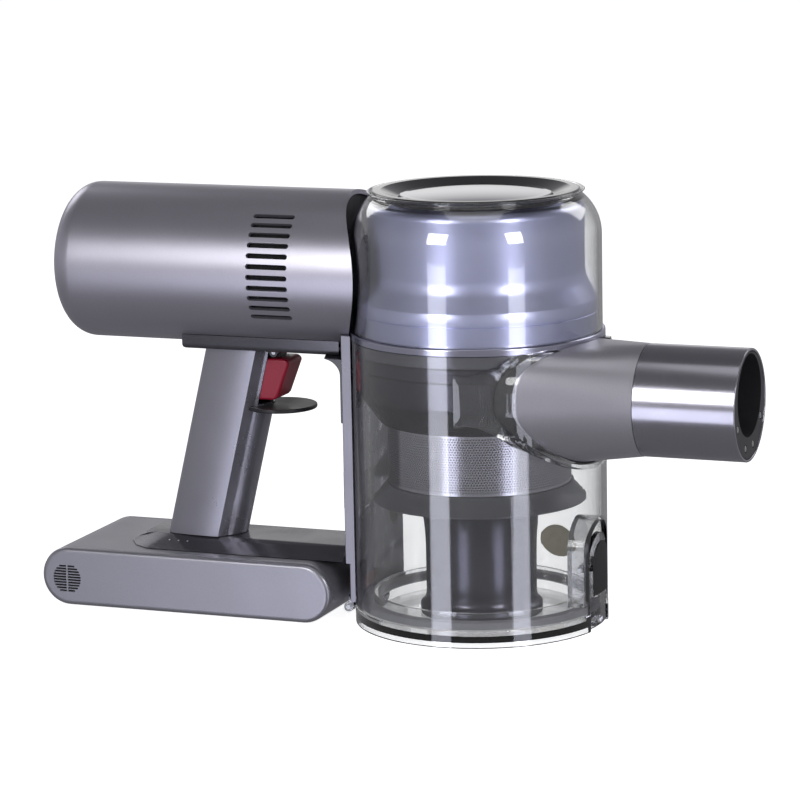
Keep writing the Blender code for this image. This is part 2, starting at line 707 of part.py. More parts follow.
def motor_barrel():
    """Drawn barrel, closed and rounded at the rear, with two rows of vents."""
    c, wall = BARREL_ROUND, BARREL_WALL
    r, rear, front = BARREL_R, BARREL_REAR, -0.040
    outer = [(0, rear)] + arc((r - c, rear + c), c, -90, 0, 4)
    inner = arc((r - c, rear + c), c - wall, 0, -90, 2) + [(0, rear + wall)]
    barrel = turned("motor_housing", outer + [(r, front), (r - wall, front)] + inner, GUNMETAL,
                    "X", (0, 0, BARREL_Z), ring=False)
    boolean(barrel, drum("saddle", SADDLE_R, BARREL_Z - 0.06, BARREL_Z + 0.06))
    boolean(barrel, vent_cutter())
    boolean(barrel, box("arm_way", (PIVOT_X - 0.004, -0.0060, BAR_LOW - 0.009),
                        (PIVOT_X + 0.004, 0.0060, BAR_LOW + 0.0055)))


def vent_cutter():
    """All the vent slots as one cutter, spaced round both sides of the barrel."""
    half = VENT_LONG / 2
    slot = flat("vent_slot", stadium(VENT_X - half, VENT_X + half, 0, VENT_TALL / 2, 2), "Y",
                -BARREL_R - 0.004, -BARREL_R + 0.006)
    every = bmesh.new()
    for row in range(VENT_COUNT):
        tilt = VENT_TOP_DEG - row * VENT_PITCH_DEG
        for turn in (-tilt, 180 + tilt):
            copy = slot.data.copy()
            copy.transform(Matrix.Rotation(radians(turn), 4, "X"))
            every.from_mesh(copy)
    mesh = bpy.data.meshes.new("vent_slots")
    every.to_mesh(mesh)
    every.free()
    bpy.data.objects.remove(slot)
    made = place("vent_slots", mesh, None)
    made.location = (0, 0, BARREL_Z)
    return made


def bulkhead():
    """Curved bulkhead that closes the barrel behind the cup, and its gasket."""
    middle = (0, 0, BARREL_Z)
    plate = rod("front_bulkhead", BARREL_R - BARREL_WALL - GAP, -0.1, -0.04, DARK, "X", middle,
                FINE)
    face = CUP_R + GAP
    seat = face + GASKET_THICK
    inner = seat + GAP
    low, high = BARREL_Z - 0.05, BARREL_Z + 0.05
    boolean(plate, tube("bulkhead_skin", inner + 0.0024, inner, low, high), "INTERSECT")
    boolean(plate, rod("bulkhead_port", PORT_R, -0.1, -0.03, None, "X", middle, COARSE))
    gasket = rod("intake_gasket", PORT_R + 0.0035, -0.09, -0.04, RUBBER, "X", middle, COARSE)
    boolean(gasket, tube("gasket_skin", seat, face, low, high), "INTERSECT")
    boolean(gasket, rod("gasket_port", PORT_R + GAP, -0.1, -0.03, None, "X", middle, COARSE))


def motor():
    """Can, stator, rubber mount, rotor with its shaft, and the fan wheel."""
    middle = (0, 0, BARREL_Z)
    wall = 0.0016
    rear, mouth = MOTOR_REAR, MOTOR_REAR + 0.050
    can = [(0.0035, rear), (MOTOR_R, rear), (MOTOR_R, mouth), (MOTOR_R - wall, mouth),
           (MOTOR_R - wall, rear + wall), (0.0035, rear + wall)]
    turned("motor_can", can, STEEL, "X", middle, COARSE)
    tube("motor_mount", BARREL_R - BARREL_WALL - GAP, MOTOR_R + GAP, rear + 0.020,
         rear + 0.030, RUBBER, "X",
         middle, COARSE)
    tube("stator", MOTOR_R - wall - GAP, 0.0125, rear + 0.010, rear + 0.038, COPPER,
         "X", middle, COARSE)
    shaft = [(0, rear - 0.0025), (0.0025, rear - 0.0025), (0.0025, rear + 0.008),
             (0.0115, rear + 0.008), (0.0115, rear + 0.040), (0.0025, rear + 0.040),
             (0.0025, rear + 0.062), (0, rear + 0.062)]
    turned("rotor_shaft", shaft, STEEL, "X", middle, COARSE, ring=False)
    hub = 0.0025 + GAP
    fan_x = rear + 0.0525
    rim = MOTOR_R - 0.004
    wheel = [(hub, fan_x), (rim, fan_x), (rim, fan_x + 0.0013), (0.0100, fan_x + 0.0020),
             (0.0065, fan_x + 0.0085), (hub, fan_x + 0.0085)]
    fan = turned("fan_wheel", wheel, ((0.7, 0.7, 0.72), 0.3, 1.0), "X", middle, COARSE)
    for step in range(9):
        blade = box("fan_blade", (fan_x + 0.0005, 0.0050, -0.0005),
                    (fan_x + 0.0060, rim - 0.0005, 0.0005))
        blade.location = middle
        blade.rotation_euler = (2 * pi * step / 9, 0, 0)
        boolean(fan, blade, "UNION")


def barrel_inside():
    """Exhaust filter sleeve behind the vents and the control board."""
    inner = BARREL_R - BARREL_WALL
    tube("exhaust_filter", inner - 0.0008, inner - 0.0040, VENT_X - 0.0140, VENT_X + 0.0145,
         ((0.04, 0.04, 0.04), 0.9), "X", (0, 0, BARREL_Z), COARSE)
    drop = BARREL_R / 2 + 0.00435
    reach = BARREL_R - BARREL_WALL
    half, level = (reach * reach - drop * drop) ** 0.5 - 0.0054, BARREL_Z - drop
    box("control_board", (BARREL_REAR + 0.012, -half, level),
        (BARREL_REAR + 0.050, half, level + 0.0016), GREEN)


def grip_outline(extra=0.0):
    """Level section of the grip from its rear edge: small rear corners, a full round front."""
    half = GRIP_HALF + extra
    rear, corner = -extra, 0.006
    front = GRIP_LONG + extra
    nose = 0.0170
    points = arc((rear + corner, half - corner), corner, 180, 90, 4)
    points += [(front - nose + nose * sin(a), half * cos(a))
               for a in [pi * i / 16 for i in range(17)]]
    points += arc((rear + corner, -half + corner), corner, 270, 180, 4)
    return [(x + GRIP_REAR, y) for x, y in points]


def leaned(made):
    """Slope a solid forwards as it rises, at the grip's lean."""
    for vert in made.data.vertices:
        vert.co.x += (vert.co.z - GRIP_FOOT) * GRIP_LEAN
    return made


def handle():
    """Hollow slanted grip with a window for the trigger, and the switch inside."""
    low, high = RAIL_TOP + GAP, BAR_LOW - GAP
    grip = leaned(flat("handle_grip", grip_outline(), "Z", low, high, GUNMETAL))
    boolean(grip, leaned(flat("grip_room", grip_outline(-GRIP_WALL), "Z", low - 0.01,
                              high + 0.01)))
    half = TRIGGER_WIDE / 2 + 0.0004
    boolean(grip, box("trigger_window",
                      (PIVOT_X - 0.0160, -half, GUARD_Z + GUARD_THICK + SLACK),
                      (PIVOT_X + 0.0130, half, high + 0.01)))
    box("trigger_switch", (PIVOT_X - 0.0210, -0.004, TRIGGER_LOW + 0.0030),
        (PIVOT_X - 0.0128, 0.004, TRIGGER_LOW + 0.0150), DARK)


def finger_guard():
    """Thin round guard under the trigger."""
    guard = rod("finger_guard", GUARD_R, GUARD_Z, GUARD_Z + GUARD_THICK, DARK, "Z",
                (GUARD_X, 0, 0), COARSE)
    boolean(guard, leaned(flat("guard_seat", grip_outline(GAP), "Z", GUARD_Z - 0.01,
                               GUARD_Z + 0.01)))


def top_bar():
    """Bar under the barrel with two ears that carry the trigger's pin."""
    bar = box("top_bar", (BAR_REAR, -BAR_HALF, BAR_LOW), (-0.050, BAR_HALF, BAR_LOW + 0.018),
              GUNMETAL)
    boolean(bar, rod("barrel_room", BARREL_R + GAP, -0.2, -0.03, None, "X", (0, 0, BARREL_Z),
                     FINE))
    boolean(bar, drum("strut_room", STRUT_OUT + GAP, BAR_LOW - 0.01, BAR_LOW + 0.03))
    x, z = PIVOT_X, PIVOT_Z
    boolean(bar, box("arm_room", (x - 0.0035, -0.0060, z), (x + 0.0035, 0.0060, z + 0.02)))
    for side in (-1, 1):
        near, far = sorted((side * 0.0062, side * 0.0089))
        root = BAR_LOW + 0.0007
        outline = arc((x, z), EAR_R, 180, 360, 8) + [(x + EAR_R, root), (x - EAR_R, root)]
        ear = flat("pin_ear", outline, "Y", near, far)
        boolean(ear, rod("pin_seat", HINGE_PIN_R + GAP, -0.02, 0.02, at=(x, 0, z), steps=16))
        boolean(bar, ear, "UNION")


def trigger():
    """Red trigger, its black arm, pin and return spring."""
    x, z = PIVOT_X, PIVOT_Z
    half = TRIGGER_WIDE / 2
    lean = (TRIGGER_TALL - 0.0206) * GRIP_LEAN
    outline = [(x - 0.0049, TRIGGER_TOP), (x + 0.0080, TRIGGER_TOP),
               (x + 0.0103, TRIGGER_TOP - 0.0022), (x + 0.0055 - lean, TRIGGER_LOW + 0.0050),
               (x + 0.0015 - lean, TRIGGER_LOW + 0.0012), (x - 0.0015 - lean, TRIGGER_LOW),
               (x - 0.0090 - lean, TRIGGER_LOW)]
    blade = flat("trigger", outline, "Y", -half, half, RED, (x, 0, z))
    soften(blade, 0.0010)
    arm = rod("trigger_arm", 0.0022, -0.0034, 0.0034, DARK, at=(x, 0, z))
    boolean(arm, box("arm_link", (x - 0.0020, -0.0034, TRIGGER_TOP + GAP),
                     (x + 0.0020, 0.0034, z)), "UNION")
    boolean(arm, rod("arm_bore", HINGE_PIN_R + RUNNING, -0.01, 0.01, at=(x, 0, z), steps=16))
    rod("trigger_pin", HINGE_PIN_R, -0.0088, 0.0088, STEEL, at=(x, 0, z), steps=16)
    coil("trigger_spring", (x, z), 0.0018, 0.0040, 0.0056, 3, 0.00025)


def strut():
    """Arc-shaped strut behind the cup, its lower bracket and the cup release button."""
    inner = STRUT_IN
    step = PACK_TALL + GAP
    high = BAR_LOW + 0.021
    outline = [(STRUT_OUT, high), (STRUT_OUT, step), (inner + BRACKET_THICK, step),
               (inner + BRACKET_THICK, BRACKET_LOW), (inner, BRACKET_LOW), (inner, high)]
    post = turned("strut", outline, GUNMETAL)
    boolean(post, box("strut_width", (-STRUT_OUT - 0.01, -STRUT_HALF, 0),
                      (-0.02, STRUT_HALF, high + 0.01)), "INTERSECT")
    boolean(post, rod("strut_barrel", BARREL_R + GAP, -0.2, -0.03, None, "X",
                      (0, 0, BARREL_Z), FINE))
    boolean(post, box("button_window", (-STRUT_OUT - 0.01, -0.0073, 0.0500),
                      (-STRUT_IN + 0.01, 0.0073, 0.0700)))
    boolean(post, box("contact_window", (-STRUT_OUT - 0.01, -0.0093, 0.0107),
                      (-STRUT_IN + 0.01, 0.0093, 0.0183)))
    button = box("cup_release", (-STRUT_OUT - 0.002, -0.0070, 0.0503), (-SADDLE_R - 0.0030,
                 0.0070, 0.0697), DARK, (-STRUT_OUT, 0, 0.060))
    soften(button, 0.0008)


def base_rail():
    """Sloped rail on the battery with a T groove under it and three status lights."""
    foot, roof = PACK_TALL + GAP, RAIL_TOP
    outline = [(-RAIL_FRONT_HALF, foot), (RAIL_FRONT_HALF, foot), (RAIL_TOP_HALF, roof),
               (-RAIL_TOP_HALF, roof)]
    rail = flat("base_rail", outline, "X", RAIL_TIP, -STRUT_IN + 0.01, GUNMETAL)
    for vert in rail.data.vertices:
        if vert.co.x < RAIL_TIP + 0.001:
            vert.co.y *= 0.55
    boolean(rail, drum("rail_end", STRUT_OUT + GAP, foot - 0.01, roof + 0.01))
    rear, front, neck = RAIL_TIP - 0.02, PACK_FRONT - 0.0094, PACK_TALL + NECK_TALL
    boolean(rail, box("groove_neck", (rear, -0.0080, foot - 0.01), (front, 0.0080, neck)))
    boolean(rail, box("groove_head", (rear, -0.0108, neck - GAP), (front, 0.0108,
                      neck + HEAD_TALL + GAP)))
    y, pitch = -RAIL_FRONT_HALF + 0.0058, 0.00545
    first = RAIL_TIP + 0.0165
    boolean(rail, box("light_room", (first - 0.0018, y - 0.0012, foot - 0.001),
                      (first + 2 * pitch + 0.0018, y + 0.0012, foot + 0.0008)))
    guide = box("status_lights", (first - 0.0015, y - 0.0009, foot + 0.0001),
                (first + 2 * pitch + 0.0015, y + 0.0009, foot + 0.0005), ((0.8, 0.9, 1.0), 0.2))
    for step in range(3):
        where = (first + step * pitch, y, 0)
        boolean(rail, rod("light_hole", 0.0011, foot - 0.0003, roof + 0.01, None, "Z", where, 12))
        boolean(guide, rod("light_post", 0.0008, foot + 0.0002, foot + 0.0016, None, "Z", where,
                           12), "UNION")


def battery():
    """Battery pack: round-ended case, two side covers, grille, cells, board and button."""
    half_tall = PACK_TALL / 2
    inside = PACK_HALF - SIDE_THICK - GAP
    case = flat("battery_case", stadium(PACK_REAR, PACK_FRONT, half_tall, half_tall), "Y",
                -inside, inside, GUNMETAL)
    boolean(case, flat("case_room", stadium(PACK_REAR + PACK_WALL, PACK_FRONT - PACK_WALL,
                                            half_tall, half_tall - PACK_WALL), "Y",
                       -PACK_HALF, PACK_HALF))
    rear, front, neck = RAIL_TIP + 0.008, PACK_FRONT - 0.0119, PACK_TALL + NECK_TALL
    boolean(case, box("rail_neck", (rear, -0.0077, PACK_TALL - 0.001), (front, 0.0077,
                      neck + 0.0001)), "UNION")
    boolean(case, box("rail_head", (rear, -0.0105, neck), (front, 0.0105, neck + HEAD_TALL)),
            "UNION")
    boolean(case, box("button_way", (PACK_REAR - 0.01, -0.0090, half_tall - 0.0050),
                      (PACK_REAR + 0.0085, 0.0090, half_tall + 0.0050)))
    back = PACK_FRONT + PACK_AIR
    contacts = box("frame_contacts", (back, -0.0090, 0.0110), (back + 0.0012, 0.0090, 0.0180),
                   ((0.7, 0.5, 0.2), 0.3, 1.0))
    for side in (-0.007, 0.007):
        boolean(case, box("blade_slot", (back - 0.0113, side - 0.0014, 0.0105),
                          (back + 0.0037, side + 0.0014, 0.0185)))
        boolean(contacts, box("contact_blade", (back - 0.0053, side - 0.0008, 0.0112),
                              (back + 0.0007, side + 0.0008, 0.0178)), "UNION")
    for side, name in ((-1, "battery_side_near"), (1, "battery_side_far")):
        near, far = sorted((side * (PACK_HALF - SIDE_THICK), side * PACK_HALF))
        plate = flat(name, stadium(PACK_REAR, PACK_FRONT, half_tall, half_tall), "Y", near, far,
                     GUNMETAL)
        if side < 0:
            boolean(plate, rod("grille_seat", GRILLE_R + GAP, -0.05, -PACK_HALF + 0.0014,
                               at=(GRILLE_X, 0, half_tall - 0.001), steps=COARSE))
    rod("battery_grille", GRILLE_R, -PACK_HALF - 0.0001, -PACK_HALF + 0.0011, DARK,
        at=(GRILLE_X, 0, half_tall - 0.001), steps=COARSE)
    battery_inside(half_tall)


def battery_inside(middle):
    """Seven cells lying across, the protection board and the release button."""
    pitch = 2 * CELL_R + 0.0006
    first = PACK_FRONT - 0.0205
    count = int((PACK_LONG - 0.0205 - CELL_R - 0.0080) / pitch) + 1
    height = middle - 0.0012
    last = first - pitch * (count - 1)
    strip = CELL_LONG / 2 - 0.006
    cells = box("battery_cells", (last, -strip, height - 0.002), (first, -strip + 0.003,
                height + 0.002), ((0.1, 0.2, 0.4), 0.4))
    for step in range(count):
        where = (first - pitch * step, 0, height)
        boolean(cells, rod("cell", CELL_R, -CELL_LONG / 2, CELL_LONG / 2, None, "Y", where, 20),
                "UNION")
    box("battery_board", (PACK_REAR + 0.0235, -0.026, middle + 0.0092),
        (PACK_FRONT - 0.0309, 0.026, middle + 0.0106), GREEN)
    button = box("battery_button", (PACK_REAR - 0.0008, -0.0087, 0.0098), (PACK_REAR + 0.0036,
                 0.0087, 0.0192), DARK, (PACK_REAR, 0, middle))
    soften(button, 0.0008)


dust_cup()
cup_label()
door()
door_seal()
hinge_pin()
latch_lever()
latch_pad()
latch_pin()
coil("latch_spring", (LATCH_X, LATCH_PIVOT_Z), 0.0022, 0.0040, 0.0085, 4, 0.0003)
inlet_duct()
nozzle()
inlet_flap()
cup_ring()
top_shell()
metal_cover()
cyclone_shroud()
mesh_screen()
shroud_skirt()
dust_tube()
tube_seal()
inner_cone()
filter_cap()
motor_barrel()
bulkhead()
motor()
barrel_inside()
handle()
finger_guard()
top_bar()
trigger()
strut()
base_rail()
battery()
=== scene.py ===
"""Cordless handheld vacuum: the looks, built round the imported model.

The sections follow the vacuum as it is put together: the studio, the motor barrel, the
frame and its handle, the battery foot, the dust cup with its door and nozzle, and the
cyclone stack with its filter cap.
"""
from math import cos, pi, radians, sin, sqrt

import bmesh
import bpy
from mathutils import Matrix, Vector


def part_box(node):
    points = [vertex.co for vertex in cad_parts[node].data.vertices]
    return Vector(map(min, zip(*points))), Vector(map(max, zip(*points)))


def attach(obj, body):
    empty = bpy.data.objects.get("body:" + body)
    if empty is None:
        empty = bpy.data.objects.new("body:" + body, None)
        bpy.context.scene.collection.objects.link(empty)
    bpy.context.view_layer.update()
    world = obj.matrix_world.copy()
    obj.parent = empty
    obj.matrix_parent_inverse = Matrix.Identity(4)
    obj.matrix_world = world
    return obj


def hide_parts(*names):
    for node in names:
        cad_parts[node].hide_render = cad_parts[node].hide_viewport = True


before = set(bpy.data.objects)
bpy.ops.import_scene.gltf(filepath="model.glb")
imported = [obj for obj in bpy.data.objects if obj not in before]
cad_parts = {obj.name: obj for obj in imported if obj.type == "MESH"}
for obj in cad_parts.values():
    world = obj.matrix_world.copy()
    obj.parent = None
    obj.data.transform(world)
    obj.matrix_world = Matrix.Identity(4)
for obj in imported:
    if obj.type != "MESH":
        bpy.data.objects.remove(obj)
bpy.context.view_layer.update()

# ---- Camera ----------------------------------------------
# A long lens a little above table height, turned towards the nozzle side and looking slightly
# down; the small roll and shift set the vacuum in its place in the frame.
view_turn, view_lift, view_roll = radians(21.66), radians(10.88), radians(-1.14)
view_distance, view_shift = 1.73476, Vector((-0.03793, 0.00686))
view_target = Vector((0, 0, 0.100))
back = Vector((sin(view_turn) * cos(view_lift), -cos(view_turn) * cos(view_lift),
               sin(view_lift)))
right = Vector((cos(view_turn), sin(view_turn), 0))
up = back.cross(right)
right, up = (right * cos(view_roll) + up * sin(view_roll),
             up * cos(view_roll) - right * sin(view_roll))
camera_data = bpy.data.cameras.new("studio_camera")
camera_data.lens = 162.71
camera_data.sensor_width = 36
camera_data.clip_start, camera_data.clip_end = 0.05, 50
camera = bpy.data.objects.new("studio_camera", camera_data)
bpy.context.scene.collection.objects.link(camera)
place = view_target + back * view_distance + right * view_shift.x + up * view_shift.y
camera.matrix_world = Matrix((
    (right.x, up.x, back.x, place.x), (right.y, up.y, back.y, place.y),
    (right.z, up.z, back.z, place.z), (0, 0, 0, 1)))
bpy.context.scene.camera = camera
bpy.context.scene.view_settings.view_transform = "Standard"

# ---- Studio floor and light ------------------------------
# A white sweep that the camera and the clear plastic see, a softbox on either side of the
# camera with a low glow off the table under each, a weaker pair behind, a ceiling panel, and
# a soft grey room for everything that shines.


def added(tree, kind, operation=None, **values):
    """A shader node with its operation and the values of its inputs."""
    node = tree.nodes.new("ShaderNode" + kind)
    if operation:
        node.operation = operation
    for title, value in values.items():
        node.inputs[title.replace("_", " ")].default_value = value
    return node


def wired(tree, *runs):
    """Links, each from one node's output to another node's input."""
    for source, out, target, into in runs:
        tree.links.new(source.outputs[out], target.inputs[into])


def bounced(tree):
    """The light path, and how often a ray has met something shiny or dull."""
    path, bounces = added(tree, "LightPath"), added(tree, "Math", "ADD")
    wired(tree, (path, "Glossy Depth", bounces, 0), (path, "Diffuse Depth", bounces, 1))
    return path, bounces


def mixed_colour(tree, second=None):
    """A colour mix, with its second colour if that is plain."""
    node = added(tree, "Mix")
    node.data_type = "RGBA"
    if second:
        node.inputs["B"].default_value = second
    return node


bpy.ops.object.select_all(action="DESELECT")
bpy.ops.mesh.primitive_circle_add(vertices=96, radius=6, fill_type="NGON",
                                  location=(0, 0, -0.0002))
floor = bpy.context.object
floor.name = "studio_floor"
paper = bpy.data.materials.new("white_floor")
paper.use_nodes = True
tree = paper.node_tree
shader = tree.nodes["Principled BSDF"]
shader.inputs["Base Color"].default_value = (0.9, 0.9, 0.9, 1)
shader.inputs["Roughness"].default_value = 0.9
shader.inputs["Specular IOR Level"].default_value = 0.0
shader.inputs["Emission Color"].default_value = (1, 1, 1, 1)
shader.inputs["Emission Strength"].default_value = 0.86
path, bounces = bounced(tree)
shaded, away = added(tree, "Math", "ADD"), added(tree, "Math", "GREATER_THAN")
away.inputs[1].default_value = 0.5
gone, either = added(tree, "BsdfTransparent"), added(tree, "MixShader")
wired(tree, (bounces, "Value", shaded, 0), (path, "Is Shadow Ray", shaded, 1),
      (shaded, "Value", away, 0), (away, "Value", either, "Fac"), (shader, "BSDF", either, 1),
      (gone, "BSDF", either, 2), (either, "Shader", tree.nodes["Material Output"], "Surface"))
floor.data.materials.append(paper)

room = bpy.data.worlds.new("grey_room")
room.use_nodes = True
bpy.context.scene.world = room
tree = room.node_tree
sky = tree.nodes["Background"]
heading, split = added(tree, "TexCoord"), added(tree, "SeparateXYZ")
level = added(tree, "MapRange", From_Min=-1, From_Max=1)
tones = added(tree, "ValToRGB")
steps = tones.color_ramp.elements
steps[0].position, steps[0].color = 0.0, (0.10, 0.10, 0.105, 1)
steps[1].position, steps[1].color = 1.0, (0.03, 0.03, 0.035, 1)
for where, tone in ((0.30, 0.13), (0.50, 0.32), (0.62, 0.30), (0.78, 0.12), (0.93, 0.05)):
    step = steps.new(where)
    step.color = (tone, tone, tone * 1.04, 1)
path, bounces = bounced(tree)
seen = added(tree, "Math", "LESS_THAN")
seen.inputs[1].default_value = 0.5
behind = added(tree, "VectorMath", "DOT_PRODUCT")
behind.inputs[1].default_value = (-back.x, -back.y, 0.14)
sweep = added(tree, "MapRange", From_Min=0.972, From_Max=0.992)
backdrop = mixed_colour(tree, (0.9, 0.9, 0.9, 1))
pick = mixed_colour(tree, (1, 1, 1, 1))
wired(tree, (heading, "Generated", split, "Vector"), (split, "Z", level, "Value"),
      (level, "Result", tones, "Fac"), (bounces, "Value", seen, 0),
      (seen, "Value", pick, "Factor"), (heading, "Generated", behind, 0),
      (behind, "Value", sweep, "Value"), (sweep, "Result", backdrop, "Factor"),
      (tones, "Color", backdrop, "A"), (backdrop, "Result", pick, "A"),
      (pick, "Result", sky, "Color"))
sky.inputs["Strength"].default_value = 1.0

middle = Vector((-0.04, 0, 0.10))


def softbox(name, turn, lift, distance, wide, tall, power, tint=(1, 1, 1)):
    """A soft panel of light aimed at the middle of the vacuum."""
    light = bpy.data.lights.new(name, "AREA")
    light.color = tint
    light.shape = "RECTANGLE"
    light.size, light.size_y = wide, tall
    light.energy = power
    panel = bpy.data.objects.new(name, light)
    bpy.context.scene.collection.objects.link(panel)
    turn, lift = radians(turn), radians(lift)
    facing = Vector((sin(turn) * cos(lift), -cos(turn) * cos(lift), sin(lift)))
    panel.matrix_world = Matrix.Translation(middle + facing * distance) @ \
        facing.to_track_quat("Z", "Y").to_matrix().to_4x4()


softbox("left_softbox", -15, 21, 1.5, 0.46, 0.60, 5.2)
softbox("right_softbox", 57, 21, 1.5, 0.36, 0.60, 4.6)
softbox("left_table_glow", -15, -16, 1.5, 0.46, 0.64, 2.2, (0.84, 0.86, 1.0))
softbox("right_table_glow", 57, -16, 1.5, 0.40, 0.64, 1.9, (0.84, 0.86, 1.0))
softbox("back_left_softbox", -125, 30, 1.8, 0.7, 0.7, 2.5)
softbox("back_right_softbox", 150, 30, 1.8, 0.7, 0.7, 2.5)
softbox("ceiling_panel", 20, 78, 2.0, 1.2, 1.2, 3)

# ---- Motor barrel ----------------------------------------
# A moulded barrel in satin gunmetal lacquer, turned from its outline about the motor's axis,
# hollowed where the cup hangs, with eleven vents cut through on either side.
barrel_low, barrel_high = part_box("motor_housing")
cup_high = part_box("dust_cup")[1]
cup_r = cup_high.y
barrel_r = (barrel_high.z - barrel_low.z) / 2
barrel_z = (barrel_high.z + barrel_low.z) / 2
barrel_wall, barrel_round = 0.0022, 0.0120
saddle_r = cup_r + 0.0007
gap = 0.0003


def arc(centre, radius, start, end, count):
    """Points on a round corner, in degrees."""
    return [(centre[0] + radius * cos(radians(start + (end - start) * i / count)),
             centre[1] + radius * sin(radians(start + (end - start) * i / count)))
            for i in range(count + 1)]


def choose(*pieces):
    """Only these pieces are selected, the first of them active."""
    bpy.ops.object.select_all(action="DESELECT")
    for piece in pieces:
        piece.select_set(True)
    bpy.context.view_layer.objects.active = pieces[0]


def edit(piece):
    """Opens one piece for editing with everything in it selected."""
    choose(piece)
    bpy.ops.object.mode_set(mode="EDIT")
    bpy.ops.mesh.select_mode(type="VERT")
    bpy.ops.mesh.select_all(action="SELECT")


def settle(piece, angle=35):
    """The piece's place goes into its mesh, and round faces shade smooth."""
    if bpy.context.mode != "OBJECT":
        bpy.ops.object.mode_set(mode="OBJECT")
    choose(piece)
    bpy.ops.object.transform_apply(location=True, rotation=True, scale=True)
    bpy.ops.object.shade_smooth_by_angle(angle=radians(angle))
    return piece


def traced(name, points, closed=True):
    """A line extruded point by point; it starts as a small plane merged to one corner."""
    bpy.ops.object.select_all(action="DESELECT")
    bpy.ops.mesh.primitive_plane_add(size=0.001, location=points[0])
    piece = bpy.context.object
    piece.name = piece.data.name = name
    edit(piece)
    bpy.ops.mesh.merge(type="CENTER")
    for before, after in zip(points, points[1:]):
        bpy.ops.mesh.extrude_vertices_move(
            TRANSFORM_OT_translate={"value": Vector(after) - Vector(before)})
    if closed:
        net = bmesh.from_edit_mesh(piece.data)
        net.verts.ensure_lookup_table()
        net.select_mode = {"VERT"}
        for vert in net.verts:
            vert.select = vert.index in (0, len(points) - 1)
        net.select_flush_mode()
        bmesh.update_edit_mesh(piece.data)
        bpy.ops.mesh.edge_face_add()
    return piece


def turned(name, outline, axis="Z", at=(0, 0, 0), steps=128, closed=True):
    """An outline of (radius, along) points spun about an axis along X or Z."""
    at = Vector(at)
    if axis == "Z":
        points = [at + Vector((r, 0, h)) for r, h in outline]
    else:
        points = [at + Vector((h, r, 0)) for r, h in outline]
    piece = traced(name, points, closed)
    bpy.ops.mesh.select_all(action="SELECT")
    bpy.ops.mesh.spin(steps=steps, angle=2 * pi, center=at,
                      axis=(0, 0, 1) if axis == "Z" else (1, 0, 0))
    bpy.ops.mesh.select_all(action="SELECT")
    bpy.ops.mesh.remove_doubles(threshold=0.000002)
    bpy.ops.mesh.normals_make_consistent(inside=False)
    return settle(piece)


def slab(name, outline, facing, low, high):
    """A flat outline filled and extruded along X, Y or Z."""
    spread = {"X": lambda a, b, c: (c, a, b), "Y": lambda a, b, c: (a, c, b),
              "Z": lambda a, b, c: (a, b, c)}[facing]
    piece = traced(name, [spread(a, b, low) for a, b in outline])
    bpy.ops.mesh.select_all(action="SELECT")
    bpy.ops.mesh.edge_face_add()
    bpy.ops.mesh.extrude_region_move(
        TRANSFORM_OT_translate={"value": spread(0, 0, high - low)})
    bpy.ops.mesh.select_all(action="SELECT")
    bpy.ops.mesh.normals_make_consistent(inside=False)
    return settle(piece)


def block(name, low, high):
    """A rectangular block between two corners."""
    low, high = Vector(low), Vector(high)
    bpy.ops.object.select_all(action="DESELECT")
    bpy.ops.mesh.primitive_cube_add(size=1, location=(low + high) / 2, scale=high - low)
    piece = bpy.context.object
    piece.name = piece.data.name = name
    return settle(piece)


def rod(name, radius, low, high, axis="Z", at=(0, 0, 0), sides=96):
    """A round bar along X, Y or Z."""
    turn = {"X": (0, pi / 2, 0), "Y": (pi / 2, 0, 0), "Z": (0, 0, 0)}[axis]
    way = Vector({"X": (1, 0, 0), "Y": (0, 1, 0), "Z": (0, 0, 1)}[axis])
    bpy.ops.object.select_all(action="DESELECT")
    bpy.ops.mesh.primitive_cylinder_add(vertices=sides, radius=radius, depth=high - low,
                                        location=Vector(at) + way * (low + high) / 2,
                                        rotation=turn)
    piece = bpy.context.object
    piece.name = piece.data.name = name
    return settle(piece)


def apply_step(piece, step):
    """Applies one modifier."""
    choose(piece)
    bpy.ops.object.modifier_apply(modifier=step.name)


def cut(piece, tool, operation="DIFFERENCE"):
    """Cuts, joins or keeps what is common, and removes the tool."""
    step = piece.modifiers.new("cut", "BOOLEAN")
    step.operation = operation
    step.object = tool
    step.solver = "EXACT"
    apply_step(piece, step)
    bpy.data.objects.remove(tool)
    return piece


def rounded(piece, width, segments=3, angle=35):
    """Rounds the sharp edges and shades the result."""
    step = piece.modifiers.new("round", "BEVEL")
    step.width = width
    step.segments = segments
    step.limit_method = "ANGLE"
    step.angle_limit = radians(angle)
    apply_step(piece, step)
    settle(piece, 40)
    step = piece.modifiers.new("even_shading", "WEIGHTED_NORMAL")
    step.keep_sharp = True
    step.weight = 80
    apply_step(piece, step)
    return piece


def copied(piece, name, transform):
    """A copy with its own mesh, moved by a matrix."""
    twin = piece.copy()
    twin.data = piece.data.copy()
    twin.name = twin.data.name = name
    bpy.context.scene.collection.objects.link(twin)
    twin.data.transform(transform)
    return twin


def joined(pieces):
    """Several pieces made into the first one."""
    choose(*pieces)
    bpy.ops.object.join()
    return pieces[0]


def group(name, inputs, outputs):
    """An empty node group with its sockets; returns the tree and its two ends."""
    tree = bpy.data.node_groups.new(name, "ShaderNodeTree")
    for title, kind, value in inputs:
        socket = tree.interface.new_socket(name=title, in_out="INPUT", socket_type=kind)
        if value is not None:
            socket.default_value = value
    for title, kind in outputs:
        tree.interface.new_socket(name=title, in_out="OUTPUT", socket_type=kind)
    return tree, tree.nodes.new("NodeGroupInput"), tree.nodes.new("NodeGroupOutput")


